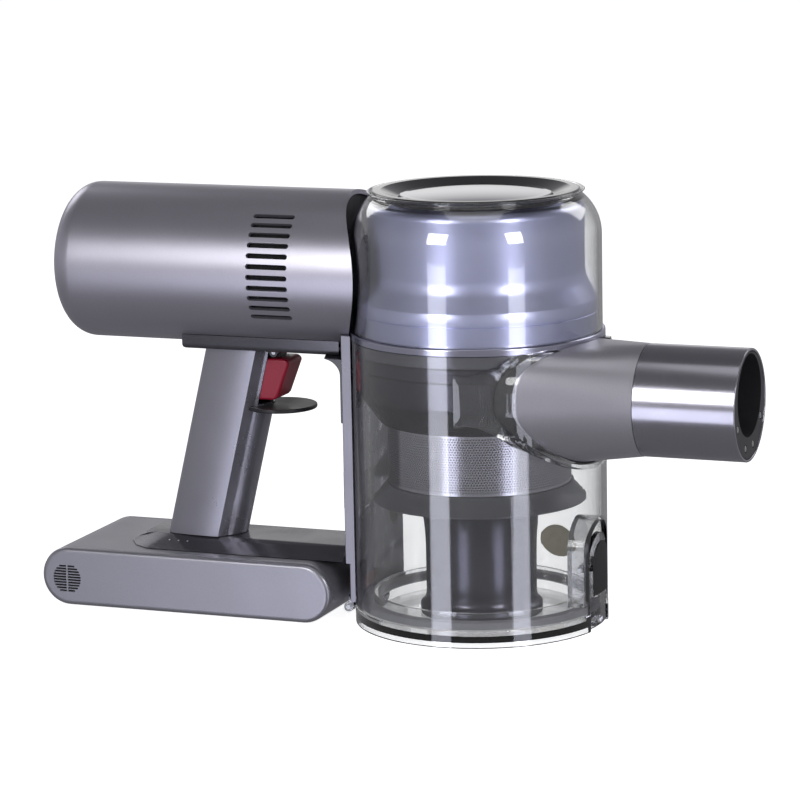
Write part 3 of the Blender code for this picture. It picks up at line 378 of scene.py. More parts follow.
# Metal flakes in lacquer: a fine sparkle with a slow cloud of lighter and darker coat
flakes, goes_in, goes_out = group(
    "lacquer_flakes", [("Dark", "NodeSocketColor", (0.4, 0.4, 0.4, 1)),
                       ("Light", "NodeSocketColor", (0.6, 0.6, 0.6, 1)),
                       ("Flake Size", "NodeSocketFloat", 2600.0),
                       ("Cloud Size", "NodeSocketFloat", 22.0)],
    [("Color", "NodeSocketColor"), ("Flake", "NodeSocketFloat")])
where, tint = added(flakes, "TexCoord"), mixed_colour(flakes)
speck, cloud = added(flakes, "TexNoise", Detail=1.0), added(flakes, "TexNoise", Detail=2.0)
blend, share = added(flakes, "Math", "MULTIPLY_ADD"), added(flakes, "Math", "MULTIPLY")
blend.inputs[1].default_value = 0.75
share.inputs[1].default_value = 0.25
wired(flakes, (where, "Object", speck, "Vector"), (where, "Object", cloud, "Vector"),
      (goes_in, "Flake Size", speck, "Scale"), (goes_in, "Cloud Size", cloud, "Scale"),
      (cloud, "Fac", share, 0), (speck, "Fac", blend, 0), (share, "Value", blend, 2),
      (blend, "Value", tint, "Factor"), (goes_in, "Dark", tint, "A"),
      (goes_in, "Light", tint, "B"), (tint, "Result", goes_out, "Color"),
      (speck, "Fac", goes_out, "Flake"))

# Handling: faint smears that change how sharply a surface shines
handling, goes_in, goes_out = group(
    "handling", [("Clean", "NodeSocketFloat", 0.25), ("Smeared", "NodeSocketFloat", 0.4),
                 ("Smear Size", "NodeSocketFloat", 35.0)], [("Roughness", "NodeSocketFloat")])
where, smear = added(handling, "TexCoord"), added(handling, "TexNoise", Detail=4.0, Distortion=0.6)
spread = added(handling, "MapRange", From_Min=0.35, From_Max=0.75)
wired(handling, (where, "Object", smear, "Vector"), (goes_in, "Smear Size", smear, "Scale"),
      (smear, "Fac", spread, "Value"), (goes_in, "Clean", spread, "To Min"),
      (goes_in, "Smeared", spread, "To Max"), (spread, "Result", goes_out, "Roughness"))

# Hairlines: long thin grooves, drawn out along one axis by the stretch
hairlines, goes_in, goes_out = group(
    "hairlines", [("Stretch", "NodeSocketVector", (20, 1500, 1500))],
    [("Line", "NodeSocketFloat")])
where, pull = added(hairlines, "TexCoord"), added(hairlines, "VectorMath", "MULTIPLY")
groove = added(hairlines, "TexNoise", Scale=1.0, Detail=3.0)
wired(hairlines, (where, "Object", pull, 0), (goes_in, "Stretch", pull, 1),
      (pull, "Vector", groove, "Vector"), (groove, "Fac", goes_out, "Line"))


def material(name, metallic=0.0, coat=0.0, coat_rough=0.1, ior=1.5):
    """A Principled material; returns it with its tree and shader."""
    made = bpy.data.materials.new(name)
    made.use_nodes = True
    shader = made.node_tree.nodes["Principled BSDF"]
    shader.inputs["Metallic"].default_value = metallic
    shader.inputs["Coat Weight"].default_value = coat
    shader.inputs["Coat Roughness"].default_value = coat_rough
    shader.inputs["IOR"].default_value = ior
    return made, made.node_tree, shader


def uses(tree, part, **values):
    """A node group placed in a material with its own values."""
    node = tree.nodes.new("ShaderNodeGroup")
    node.node_tree = part
    for title, value in values.items():
        node.inputs[title.replace("_", " ")].default_value = value
    return node


def lacquer(name, dark, light, clean, smeared, metallic=0.9, stretch=None, groove=0.03,
            coat=0.0, coat_rough=0.08):
    """Metallic lacquer: flakes for colour, handling for gloss, and a faint grain."""
    made, tree, shader = material(name, metallic, coat, coat_rough)
    colour = uses(tree, flakes, Dark=dark, Light=light)
    gloss = uses(tree, handling, Clean=clean, Smeared=smeared)
    bump = added(tree, "Bump", Strength=groove, Distance=0.0002)
    grain = (colour, "Flake")
    if stretch:
        grain = (uses(tree, hairlines, Stretch=stretch), "Line")
    wired(tree, (colour, "Color", shader, "Base Color"), (*grain, bump, "Height"),
          (gloss, "Roughness", shader, "Roughness"), (bump, "Normal", shader, "Normal"))
    return made


def wear(piece, *materials):
    """Gives a piece its materials."""
    piece.data.materials.clear()
    for one in materials:
        piece.data.materials.append(one)
    for face in piece.data.polygons:
        face.material_index = 0
    return piece


barrel_finish = lacquer("barrel_lacquer", (0.47, 0.455, 0.53, 1), (0.60, 0.585, 0.67, 1),
                        0.33, 0.35, groove=0.01)
rear = barrel_low.x
front = -0.040
outer = [(0, rear)] + arc((barrel_r - barrel_round, rear + barrel_round), barrel_round,
                          -90, 0, 14)
outer += [(barrel_r, rear + barrel_round + (front - rear - barrel_round) * i / 24)
          for i in range(1, 25)]
inner_r = barrel_r - barrel_wall
inner = [(inner_r, front)] + arc((barrel_r - barrel_round, rear + barrel_round),
                                 barrel_round - barrel_wall, 0, -90, 8) + \
    [(0, rear + barrel_wall)]
barrel = turned("barrel_shell", outer + inner, "X", (0, 0, barrel_z), closed=False)
cut(barrel, rod("saddle_tool", saddle_r, 0.10, 0.24, sides=160))
vent_long, vent_tall, vent_x = 0.0215, 0.0025, -0.0930
slot_ends = arc((vent_x + vent_long / 2 - vent_tall / 2, 0), vent_tall / 2, -90, 90, 8) + \
    arc((vent_x - vent_long / 2 + vent_tall / 2, 0), vent_tall / 2, 90, 270, 8)
slot = slab("vent_tool", slot_ends, "Y", -barrel_r - 0.004, -barrel_r + 0.006)
tools = []
for row in range(11):
    tilt = 46.5 - row * 7.78
    for turn in (-tilt, 180 + tilt):
        place = Matrix.Translation((0, 0, barrel_z)) @ Matrix.Rotation(radians(turn), 4, "X")
        tools.append(copied(slot, "vent_tool_copy", place))
bpy.data.objects.remove(slot)
cut(barrel, joined(tools))
arm_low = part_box("trigger_arm")
cut(barrel, block("arm_tool", (arm_low[0].x - 0.002, -0.006, barrel_low.z - 0.001),
                  (arm_low[1].x + 0.002, 0.006, barrel_low.z + 0.0055)))
rounded(barrel, 0.00035, 2, 50)
wear(barrel, barrel_finish)
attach(barrel, "main_frame")
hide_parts("motor_housing")

# ---- Inside the barrel -----------------------------------
# Foam exhaust sleeve, motor, fan and boards: moulded, wound and turned pieces that show only
# through the vents and when the vacuum comes apart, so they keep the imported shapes.
pores, goes_in, goes_out = group(
    "pores", [("Size", "NodeSocketFloat", 900.0), ("Dark", "NodeSocketColor", (0, 0, 0, 1)),
              ("Light", "NodeSocketColor", (0.1, 0.1, 0.1, 1))],
    [("Color", "NodeSocketColor"), ("Depth", "NodeSocketFloat")])
where, cells = added(pores, "TexCoord"), added(pores, "TexVoronoi")
tint = mixed_colour(pores)
wired(pores, (where, "Object", cells, "Vector"), (goes_in, "Size", cells, "Scale"),
      (cells, "Distance", tint, "Factor"), (goes_in, "Dark", tint, "A"),
      (goes_in, "Light", tint, "B"), (tint, "Result", goes_out, "Color"),
      (cells, "Distance", goes_out, "Depth"))


def grained(name, dark, light, size, clean, smeared, metallic=0.0, depth=0.2, coat=0.0):
    """A moulded or woven surface: pores or grain for colour and bump, handling for gloss."""
    made, tree, shader = material(name, metallic, coat)
    colour = uses(tree, pores, Size=size, Dark=dark, Light=light)
    gloss = uses(tree, handling, Clean=clean, Smeared=smeared)
    bump = added(tree, "Bump", Strength=depth, Distance=0.0003)
    wired(tree, (colour, "Color", shader, "Base Color"), (colour, "Depth", bump, "Height"),
          (gloss, "Roughness", shader, "Roughness"), (bump, "Normal", shader, "Normal"))
    return made


foam = grained("exhaust_foam", (0.004, 0.004, 0.004, 1), (0.02, 0.02, 0.022, 1), 1100, 0.9, 1.0,
               depth=0.8)
soft_rubber = grained("soft_rubber", (0.012, 0.012, 0.013, 1), (0.03, 0.03, 0.032, 1), 2600,
                      0.55, 0.7)
spring_steel = grained("spring_steel", (0.50, 0.50, 0.51, 1), (0.66, 0.66, 0.68, 1), 3000,
                       0.22, 0.34, metallic=1.0, depth=0.05)
wound_copper = grained("wound_copper", (0.45, 0.17, 0.06, 1), (0.75, 0.34, 0.15, 1), 1500,
                       0.3, 0.45, metallic=1.0, depth=0.6)
board = grained("board_lacquer", (0.01, 0.09, 0.04, 1), (0.03, 0.18, 0.08, 1), 700, 0.3, 0.5)
black_moulding = grained("black_moulding", (0.012, 0.012, 0.014, 1), (0.03, 0.03, 0.034, 1),
                         2400, 0.32, 0.48, depth=0.12)
cell_film = grained("cell_film", (0.02, 0.07, 0.22, 1), (0.04, 0.13, 0.36, 1), 500, 0.2, 0.35)
for name, finish in (
        ("exhaust_filter", foam), ("intake_gasket", soft_rubber), ("motor_mount", soft_rubber),
        ("filter_seal", soft_rubber), ("inlet_flap", soft_rubber), ("tube_seal", soft_rubber),
        ("motor_can", spring_steel), ("rotor_shaft", spring_steel),
        ("trigger_pin", spring_steel), ("trigger_spring", spring_steel),
        ("latch_spring", spring_steel), ("latch_pin", spring_steel),
        ("hinge_pin", spring_steel), ("stator", wound_copper), ("frame_contacts", wound_copper),
        ("control_board", board), ("battery_board", board), ("fan_wheel", black_moulding),
        ("trigger_switch", black_moulding), ("front_bulkhead", black_moulding),
        ("inner_cone", black_moulding), ("battery_cells", cell_film)):
    wear(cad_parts[name], finish)

# ---- Bar under the barrel --------------------------------
# Dark gloss moulding that ties the handle and the strut to the barrel, scooped to its curve;
# its lower rear edges are rounded off, and two ears below it hold the trigger's pin.
bar_low, bar_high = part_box("top_bar")
gloss_black = grained("gloss_black", (0.022, 0.021, 0.024, 1), (0.030, 0.029, 0.033, 1), 60,
                      0.06, 0.13, depth=0.0, coat=0.4)
bar_under = barrel_low.z - 0.0011


def picked(piece, test):
    """Opens the piece for editing with only the edges that pass the test selected."""
    edit(piece)
    bpy.ops.mesh.select_all(action="DESELECT")
    bpy.ops.mesh.select_mode(type="EDGE")
    net = bmesh.from_edit_mesh(piece.data)
    for edge in net.edges:
        if test(edge.verts[0].co, edge.verts[1].co):
            edge.select = True
    net.select_flush(True)
    bmesh.update_edit_mesh(piece.data)


bar = block("top_bar_moulding", (bar_low.x, bar_low.y, bar_under),
            (bar_high.x, bar_high.y, bar_under + 0.0155))
picked(bar, lambda one, two: max(one.z, two.z) < bar_under + 0.0001
       and min(one.x, two.x) < bar_low.x + 0.0001)
bpy.ops.mesh.bevel(offset=0.0026, segments=5, profile=0.6)
settle(bar)
strut_low, strut_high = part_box("strut")
strut_out = -strut_low.x
cut(bar, rod("barrel_tool", barrel_r + gap, -0.2, -0.03, "X", (0, 0, barrel_z), 160))
cut(bar, rod("strut_tool", strut_out + gap, 0.10, 0.20, sides=160))
pin_low, pin_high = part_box("trigger_pin")
pin_x, pin_z = (pin_low.x + pin_high.x) / 2, (pin_low.z + pin_high.z) / 2
cut(bar, block("arm_tool", (pin_x - 0.0035, -0.0060, bar_under - 0.002),
               (pin_x + 0.0035, 0.0060, bar_under + 0.02)))
for side in (-1, 1):
    near, far = sorted((side * 0.0062, side * 0.0089))
    outline = arc((pin_x, pin_z), 0.0021, 180, 360, 10) + \
        [(pin_x + 0.0021, bar_under + 0.001), (pin_x - 0.0021, bar_under + 0.001)]
    ear = slab("pin_ear", outline, "Y", near, far)
    cut(ear, rod("pin_tool", 0.0012, -0.02, 0.02, "Y", (pin_x, 0, pin_z), 24))
    cut(bar, ear, "UNION")
rounded(bar, 0.0003, 2, 40)
bar_finish = lacquer("bar_lacquer", (0.080, 0.078, 0.092, 1), (0.115, 0.112, 0.130, 1), 0.14,
                     0.20, metallic=0.7, groove=0.01, coat=0.5)
wear(bar, bar_finish)
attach(bar, "main_frame")
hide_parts("top_bar")

# ---- Strut and liner -------------------------------------
# Lacquered strut, an arc cut from a turned ring, that backs the cup; its thin lower bracket
# holds the cup's foot. A gloss black liner turns the corner from the bar down its rear face.
strut_finish = lacquer("strut_lacquer", (0.24, 0.235, 0.265, 1), (0.31, 0.305, 0.345, 1),
                       0.27, 0.32, metallic=0.85, groove=0.02)
strut_in = cup_r + 0.0006
strut_half = strut_high.y
bracket_low = strut_low.z
bracket_out = strut_in + 0.0021
step_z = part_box("battery_case")[0].z + 0.0293
strut_top = bar_under + 0.0115
post_out = strut_out - 0.0009
outline = [(post_out, strut_top), (post_out, step_z), (bracket_out, step_z),
           (bracket_out, bracket_low), (strut_in, bracket_low), (strut_in, strut_top)]
strut = turned("strut_post", outline, steps=160)
cut(strut, block("width_tool", (-0.08, -strut_half, 0), (-0.02, strut_half, 0.2)), "INTERSECT")
cut(strut, rod("barrel_tool", barrel_r + gap, -0.2, -0.03, "X", (0, 0, barrel_z), 160))
release_low, release_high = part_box("cup_release")
cut(strut, block("button_tool", (-0.09, -0.0073, release_low.z - gap),
                 (-0.04, 0.0073, release_high.z + gap)))
cut(strut, block("contact_tool", (-0.09, -0.0093, 0.0107), (-0.04, 0.0093, 0.0183)))
rounded(strut, 0.0005, 3, 40)
wear(strut, strut_finish)
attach(strut, "main_frame")
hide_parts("strut")

guard_low, guard_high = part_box("finger_guard")
corner = 0.0085
liner_out = strut_out - 0.0001
path = [(liner_out, guard_low.z), (liner_out, bar_under - corner)]
path += arc((liner_out + corner, bar_under - corner), corner, 180, 90, 10)[1:]
path += [(liner_out + corner, bar_under + 0.0006), (post_out + 0.0001, bar_under + 0.0006),
         (post_out + 0.0001, guard_low.z)]
liner = turned("opening_liner", path, steps=160)
cut(liner, block("width_tool", (-0.09, -strut_half + 0.0004, 0),
                 (-0.02, strut_half - 0.0004, bar_under - 0.0001)), "INTERSECT")
rounded(liner, 0.0003, 2, 50)
wear(liner, gloss_black)
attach(liner, "main_frame")

# ---- Cup release button ----------------------------------
# Ribbed black button moulded in one piece, held in the strut's window; pressing it frees the
# cup.
release = block("release_button", release_low, release_high)
edit(release)
bpy.ops.mesh.bevel(offset=0.0008, segments=3)
settle(release)
for row in range(4):
    z = release_low.z + 0.005 + row * 0.0032
    cut(release, block("rib_tool", (release_low.x - 0.001, -0.0048, z),
                       (release_low.x + 0.0005, 0.0048, z + 0.0012)))
wear(release, black_moulding)
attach(release, "cup_release")
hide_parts("cup_release")

# ---- Handle ----------------------------------------------
# Hollow slanted grip moulded in satin lacquer, with flat sides, a small round rear and a round
# nose; its front is cut open at the top for the trigger.
grip_low, grip_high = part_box("handle_grip")
grip_half = grip_high.y
lean = 0.2445
grip_rear, grip_long = grip_low.x, 0.0377
grip_finish = lacquer("grip_lacquer", (0.33, 0.325, 0.375, 1), (0.42, 0.415, 0.475, 1),
                      0.26, 0.32, metallic=0.85, groove=0.04)


def leaning(piece, foot):
    """Slopes the piece forwards as it rises."""
    for vert in piece.data.vertices:
        vert.co.x += (vert.co.z - foot) * lean
    return piece


def grip_section(inset=0.0):
    """Half of the level outline from the rear, then its mirror."""
    half, rear_round = grip_half - inset, 0.0060
    nose_r = 0.0130 - inset
    side = arc((rear_round + inset, half - 0.0016 - rear_round), rear_round, 180, 98, 8)
    side += [(x / 1000, half - (x / 1000 - 0.0240) ** 2 / 0.22) for x in range(8, 30, 3)]
    side += arc((grip_long - 0.0130, 0), nose_r, 56, 0, 12)
    return [(grip_rear + x, y) for x, y in side] + \
        [(grip_rear + x, -y) for x, y in side[-2::-1]]


foot_z, grip_top = grip_low.z, bar_under - gap
grip = leaning(slab("handle_shell", grip_section(), "Z", foot_z, grip_top), foot_z)
cut(grip, leaning(slab("room_tool", grip_section(0.0026), "Z", foot_z - 0.01, grip_top + 0.01),
                  foot_z))
trigger_low, trigger_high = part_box("trigger")
window_half = trigger_high.y + 0.0004
cut(grip, block("window_tool", (pin_x - 0.0160, -window_half, guard_high.z + 0.0005),
                (pin_x + 0.0130, window_half, grip_top + 0.01)))
rounded(grip, 0.0009, 4, 24)
wear(grip, grip_finish)
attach(grip, "main_frame")
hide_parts("handle_grip")

# ---- Finger guard ----------------------------------------
# Thin round disc of black moulded plastic that keeps the finger off the trigger's foot; it is
# seated round the grip's nose.
guard = rod("guard_disc", guard_high.y, guard_low.z, guard_high.z, "Z",
            (guard_high.x - guard_high.y, 0, 0), 96)
rounded(guard, 0.0006, 4, 40)
cut(guard, leaning(slab("seat_tool", grip_section(-gap), "Z", guard_low.z - 0.01,
                        guard_high.z + 0.01), foot_z))
settle(guard, 40)
wear(guard, black_moulding)
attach(guard, "main_frame")
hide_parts("finger_guard")

# ---- Trigger ---------------------------------------------
# Deep red moulded trigger, a wedge with rounded edges, on a black arm that turns on a steel
# pin between the bar's ears.
red = grained("trigger_red", (0.34, 0.010, 0.035, 1), (0.42, 0.018, 0.048, 1), 1500, 0.30,
              0.40, depth=0.04, coat=0.1)
top_z, low_z = trigger_high.z, trigger_low.z
outline = [(pin_x - 0.0049, top_z), (pin_x + 0.0062, top_z), (pin_x + 0.0082, top_z - 0.0018),
           (pin_x + 0.0016, low_z + 0.0018), (pin_x - 0.0002, low_z), (pin_x - 0.0090, low_z)]
trigger = rounded(slab("trigger_blade", outline, "Y", trigger_low.y, trigger_high.y),
                  0.0013, 5, 30)
wear(trigger, red)
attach(trigger, "trigger")
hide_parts("trigger")
pin_bore = 0.00106
arm = rod("trigger_link", 0.0022, -0.0034, 0.0034, "Y", (pin_x, 0, pin_z), 48)
cut(arm, block("link_tool", (pin_x - 0.0020, -0.0034, top_z + 0.0002),
               (pin_x + 0.0020, 0.0034, pin_z)), "UNION")
cut(arm, rod("bore_tool", pin_bore, -0.01, 0.01, "Y", (pin_x, 0, pin_z), 32))
rounded(arm, 0.0002, 2, 40)
wear(arm, black_moulding)
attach(arm, "trigger")
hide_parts("trigger_arm")

# ---- Base rail and status lights -------------------------
# Dark lacquered rail between the handle and the battery: sloped sides, a pointed rear end, a T
# groove underneath for the battery's tongue, and three small lights on one guide.
rail_low, rail_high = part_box("base_rail")
rail_finish = lacquer("rail_lacquer", (0.10, 0.098, 0.115, 1), (0.15, 0.147, 0.17, 1),
                      0.20, 0.30, metallic=0.8, groove=0.05)
rail_half = rail_high.y - 0.0010
outline = [(-0.0516, -rail_half), (-0.0516, rail_half), (rail_low.x + 0.0150, rail_half),
           (rail_low.x + 0.0060, rail_half - 0.0060), (rail_low.x, rail_half - 0.0150),
           (rail_low.x, 0.0150 - rail_half), (rail_low.x + 0.0060, 0.0060 - rail_half),
           (rail_low.x + 0.0150, -rail_half)]
rail = slab("base_rail_moulding", outline, "Z", rail_low.z, rail_high.z)
for vert in rail.data.vertices:
    if vert.co.z > rail_low.z + 0.001:
        vert.co.y *= 0.0140 / rail_half
        if vert.co.x < rail_low.x + 0.016:
            vert.co.x += 0.0070
cut(rail, rod("strut_tool", strut_out + gap, 0, 0.1, sides=160))
groove_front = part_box("battery_case")[1].x - 0.0094
neck = step_z + 0.0020
cut(rail, block("neck_tool", (rail_low.x - 0.01, -0.0080, 0.02), (groove_front, 0.0080, neck)))
cut(rail, block("head_tool", (rail_low.x - 0.01, -0.0108, neck - 0.0003),
                (groove_front, 0.0108, neck + 0.0015)))
light_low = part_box("status_lights")[0]
light_x = [light_low.x + 0.0081 + row * 0.0049 for row in range(3)]
light_y = -0.0195
slope_z = rail_low.z + 0.0029
cut(rail, block("guide_tool", (light_x[0] - 0.0015, light_y - 0.0010, 0.028),
                (light_x[2] + 0.0015, light_y + 0.0010, slope_z - 0.0016)))
for x in light_x:
    cut(rail, rod("light_tool", 0.0005, 0.029, 0.04, "Z", (x, light_y, 0), 16))
rounded(rail, 0.0008, 3, 20)
wear(rail, rail_finish)
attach(rail, "main_frame")
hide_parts("base_rail")

milk, tree, shader = material("light_guide", ior=1.49)
shade = uses(tree, pores, Size=900, Dark=(0.62, 0.65, 0.70, 1), Light=(0.85, 0.88, 0.92, 1))
wired(tree, (shade, "Color", shader, "Base Color"))
shader.inputs["Roughness"].default_value = 0.25
guide = block("light_guide", (light_x[0] - 0.0013, light_y - 0.0008, light_low.z),
              (light_x[2] + 0.0013, light_y + 0.0008, slope_z - 0.0018))
for x in light_x:
    cut(guide, rod("light_post", 0.00043, light_low.z + 0.0001, slope_z + 0.0001, "Z",
                   (x, light_y, 0), 16), "UNION")
wear(guide, milk)
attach(guide, "main_frame")
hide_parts("status_lights")

# ---- Battery pack ----------------------------------------
# Round-ended battery case in satin lacquer, with a domed cover on either side. The near cover
# is slotted over a small grille; a press button sits in the rear end.
case_low, case_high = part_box("battery_case")
pack_low, pack_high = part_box("battery_side_near")
far_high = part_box("battery_side_far")[1]
pack_tall = pack_high.z
pack_mid = pack_tall / 2
pack_finish = lacquer("battery_lacquer", (0.33, 0.325, 0.37, 1), (0.43, 0.425, 0.48, 1),
                      0.32, 0.38, metallic=0.8, groove=0.06)
round_ends = arc((pack_high.x - pack_mid, pack_mid), pack_mid, -90, 90, 28) + \
    arc((pack_low.x + pack_mid, pack_mid), pack_mid, 90, 270, 28)
inner_ends = arc((pack_high.x - pack_mid, pack_mid), pack_mid - 0.002, -90, 90, 20) + \
    arc((pack_low.x + pack_mid, pack_mid), pack_mid - 0.002, 90, 270, 20)
case = slab("battery_shell", round_ends, "Y", case_low.y, case_high.y)
cut(case, slab("case_room_tool", inner_ends, "Y", -0.05, 0.05))
neck_rear = rail_low.x + 0.008
neck_front = case_high.x - 0.0119
cut(case, block("neck_join", (neck_rear, -0.0077, pack_tall - 0.001),
                (neck_front, 0.0077, neck + 0.0001)), "UNION")
cut(case, block("head_join", (neck_rear, -0.0105, neck), (neck_front, 0.0105, neck + 0.0012)),
    "UNION")
cut(case, block("button_tool", (pack_low.x - 0.01, -0.0090, pack_mid - 0.005),
                (pack_low.x + 0.0085, 0.0090, pack_mid + 0.005)))
for side in (-0.007, 0.007):
    cut(case, block("blade_tool", (case_high.x - 0.0109, side - 0.0014, 0.0105),
                    (case_high.x + 0.0041, side + 0.0014, 0.0185)))
rounded(case, 0.0003, 2, 40)
wear(case, pack_finish)
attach(case, "battery")
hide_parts("battery_case")

grille_low, grille_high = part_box("battery_grille")
grille_x = (grille_low.x + grille_high.x) / 2
grille_z = (grille_low.z + grille_high.z) / 2
grille_r = (grille_high.x - grille_low.x) / 2
for name, low, high, outside in (("battery_side_near", pack_low.y, pack_high.y, -1),
                                 ("battery_side_far", case_high.y + gap, far_high.y, 1)):
    cover = slab(name + "_cover", round_ends, "Y", low, high)
    rim = low if outside < 0 else high
    picked(cover, lambda one, two: abs(one.y - rim) < 0.0001 and abs(two.y - rim) < 0.0001)
    bpy.ops.mesh.bevel(offset=0.0024, segments=6, profile=0.55)
    settle(cover)
    if outside < 0:
        slots = []
        for row in range(10):
            z = grille_z + (row - 4.5) * 0.00138
            reach = sqrt(grille_r ** 2 - (z - grille_z) ** 2)
            for left, right_end in ((-reach, -0.0004), (0.0004, reach)):
                slots.append(block("slot_tool", (grille_x + left, low - 0.002, z - 0.00046),
                                   (grille_x + right_end, low + 0.0011, z + 0.00046)))
        cut(cover, joined(slots))
    for face in cover.data.polygons:
        face.use_smooth = abs(face.normal.y) < 0.999
    wear(cover, pack_finish)
    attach(cover, "battery")
    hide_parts(name)
backing = rod("grille_backing", grille_r, pack_low.y + 0.0009, pack_low.y + 0.0013, "Y",
              (grille_x, 0, grille_z), 48)
rounded(backing, 0.0001, 1, 50)
wear(backing, foam)
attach(backing, "battery")
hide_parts("battery_grille")

press_low, press_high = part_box("battery_button")
press = block("battery_catch", press_low, press_high)
edit(press)
bpy.ops.mesh.bevel(offset=0.0009, segments=4)
settle(press)
for row in range(3):
    y = (row - 1) * 0.0035
    cut(press, block("rib_tool", (press_low.x - 0.001, y - 0.0007, pack_mid - 0.0028),
                     (press_low.x + 0.0004, y + 0.0007, pack_mid + 0.0028)))
wear(press, black_moulding)
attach(press, "battery_button")
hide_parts("battery_button")

# ---- Dust cup --------------------------------------------
# Clear moulded cup: a plain wall with the arch-shaped latch pocket let into its front and two
# hinge arms at the rear; the window for the duct is cut through.
def see_through(name, tint, clean, smeared, ior=1.49):
    """Clear plastic that light passes through without a hard shadow."""
    made, tree, shader = material(name, ior=ior)
    shader.inputs["Transmission Weight"].default_value = 1.0
    shader.inputs["Base Color"].default_value = tint
    gloss = uses(tree, handling, Clean=clean, Smeared=smeared, Smear_Size=60.0)
    path, either = added(tree, "LightPath"), added(tree, "MixShader")
    open_air = added(tree, "BsdfTransparent", Color=(0.94, 0.94, 0.95, 1))
    wired(tree, (gloss, "Roughness", shader, "Roughness"), (path, "Is Shadow Ray", either, "Fac"),
          (shader, "BSDF", either, 1), (open_air, "BSDF", either, 2),
          (either, "Shader", tree.nodes["Material Output"], "Surface"))
    return made


clear = see_through("clear_plastic", (0.96, 0.965, 0.97, 1), 0.0, 0.025)
gloss_coat = clear.node_tree.nodes["Principled BSDF"]
gloss_coat.inputs["Coat Weight"].default_value = 1.0
gloss_coat.inputs["Coat Roughness"].default_value = 0.06
gloss_coat.inputs["Coat IOR"].default_value = 1.6
cup_foot, cup_wall = 0.0083, 0.0025
cup_in = cup_r - cup_wall
hinge_low, hinge_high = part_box("hinge_pin")
hinge_x, hinge_z = (hinge_low.x + hinge_high.x) / 2, (hinge_low.z + hinge_high.z) / 2
pocket_half, pocket_top, pocket_wall, pocket_x = 0.0138, 0.0520, 0.0018, cup_r - 0.0105
pocket_floor = cup_foot + 0.0040


def arch(half, low, top):
    """A doorway outline: straight sides under a round head."""
    return [(half, low)] + arc((0, top - half), half, 0, 180, 24) + [(-half, low)]


cup = turned("cup_wall", [(cup_r, cup_foot), (cup_r, cup_high.z), (cup_in, cup_high.z),
                          (cup_in, cup_foot)], steps=160)
tray = slab("pocket_shell", arch(pocket_half + pocket_wall, pocket_floor,
                                 pocket_top + pocket_wall), "X",
            pocket_x - pocket_wall, cup_r + 0.01)
cut(tray, rod("limit_tool", cup_r - 0.001, 0, 0.08, sides=160), "INTERSECT")
cut(cup, tray, "UNION")
cut(cup, slab("room_tool", arch(pocket_half, pocket_floor + pocket_wall, pocket_top), "X",
              pocket_x, cup_r + 0.01))
plate_x = cup_r - 0.0006
cut(cup, block("way_tool", (plate_x - 0.0048, -pocket_half, 0),
               (cup_r + 0.01, pocket_half, pocket_floor + pocket_wall + 0.001)))
sleeve_low, sleeve_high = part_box("nozzle_sleeve")
nozzle_r = (sleeve_high.y - sleeve_low.y) / 2
nozzle_y, nozzle_z = (sleeve_high.y + sleeve_low.y) / 2, (sleeve_high.z + sleeve_low.z) / 2
seam, nozzle_end = sleeve_low.x - 0.0003, sleeve_high.x
window = arc((nozzle_y + 0.0009 - 0.015, nozzle_z - 0.00775), 0.015, -90, 90, 16) + \
    arc((nozzle_y - 0.0411 + 0.015, nozzle_z - 0.00775), 0.015, 90, 270, 16)
cut(cup, slab("window_tool", window, "X", 0.020, cup_r + 0.01))
for side in (-1, 1):
    near, far = sorted((side * 0.008, side * 0.014))
    arm_top = cup_foot + 0.0016
    cut(cup, block("post_join", (hinge_x + 0.0004, near, hinge_z),
                   (-cup_r - 0.0005, far, arm_top)), "UNION")
    cut(cup, block("shelf_join", (hinge_x + 0.0004, near, cup_foot + 0.0002),
                   (0.0008 - cup_in, far, arm_top)), "UNION")
    cut(cup, rod("eye_join", 0.0024, near, far, "Y", (hinge_x, 0, hinge_z), 40), "UNION")
cut(cup, rod("bore_tool", 0.0013, -0.02, 0.02, "Y", (hinge_x, 0, hinge_z), 24))
rounded(cup, 0.0004, 3, 45)
wear(cup, clear)
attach(cup, "cup")
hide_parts("dust_cup")

# ---- Label -----------------------------------------------
# Blank oval label in tan paper, stuck on the inside of the cup's wall. It lies flat on the
# wall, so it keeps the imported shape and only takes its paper.
tan = grained("label_paper", (0.80, 0.73, 0.50, 1), (0.90, 0.84, 0.62, 1), 260, 0.55, 0.7,
              depth=0.1)
wear(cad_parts["cup_label"], tan)

# ---- Cup door --------------------------------------------
# Clear bottom door with a thick rim and an upstanding ring, moulded with its hinge eye; a soft
# grey seal sits round the ring.
ring_r, ring_wall, ring_top, plate_top, rim_top = 0.0520, 0.0018, 0.0150, 0.0040, 0.0080
door_r = cup_r + 0.0002
door = turned("door_shell", [(0, plate_top), (ring_r - ring_wall, plate_top),
                             (ring_r - ring_wall, ring_top), (ring_r, ring_top),
                             (ring_r, rim_top), (door_r, rim_top), (door_r, 0),
                             (door_r - 0.0028, 0), (door_r - 0.0032, 0.0022), (0, 0.0022)],
              steps=160, closed=False)
eye = 0.0077
cut(door, block("tongue_join", (hinge_x, -eye, hinge_z - 0.002),
                (0.001 - cup_r, eye, hinge_z + 0.0022)), "UNION")
cut(door, rod("eye_join", 0.0024, -eye, eye, "Y", (hinge_x, 0, hinge_z), 40), "UNION")
cut(door, rod("bore_tool", pin_bore, -0.02, 0.02, "Y", (hinge_x, 0, hinge_z), 24))
cut(door, block("lever_tool", (plate_x - 0.0048, -0.0127, -0.001), (0.064, 0.0127, 0.009)))
latch_x = pocket_x + 0.0035
cut(door, block("hook_tool", (latch_x - 0.0012, -0.0056, -0.001),
                (0.064, 0.0056, hinge_z + 0.0004)))
notch = pocket_half + pocket_wall + 0.0005
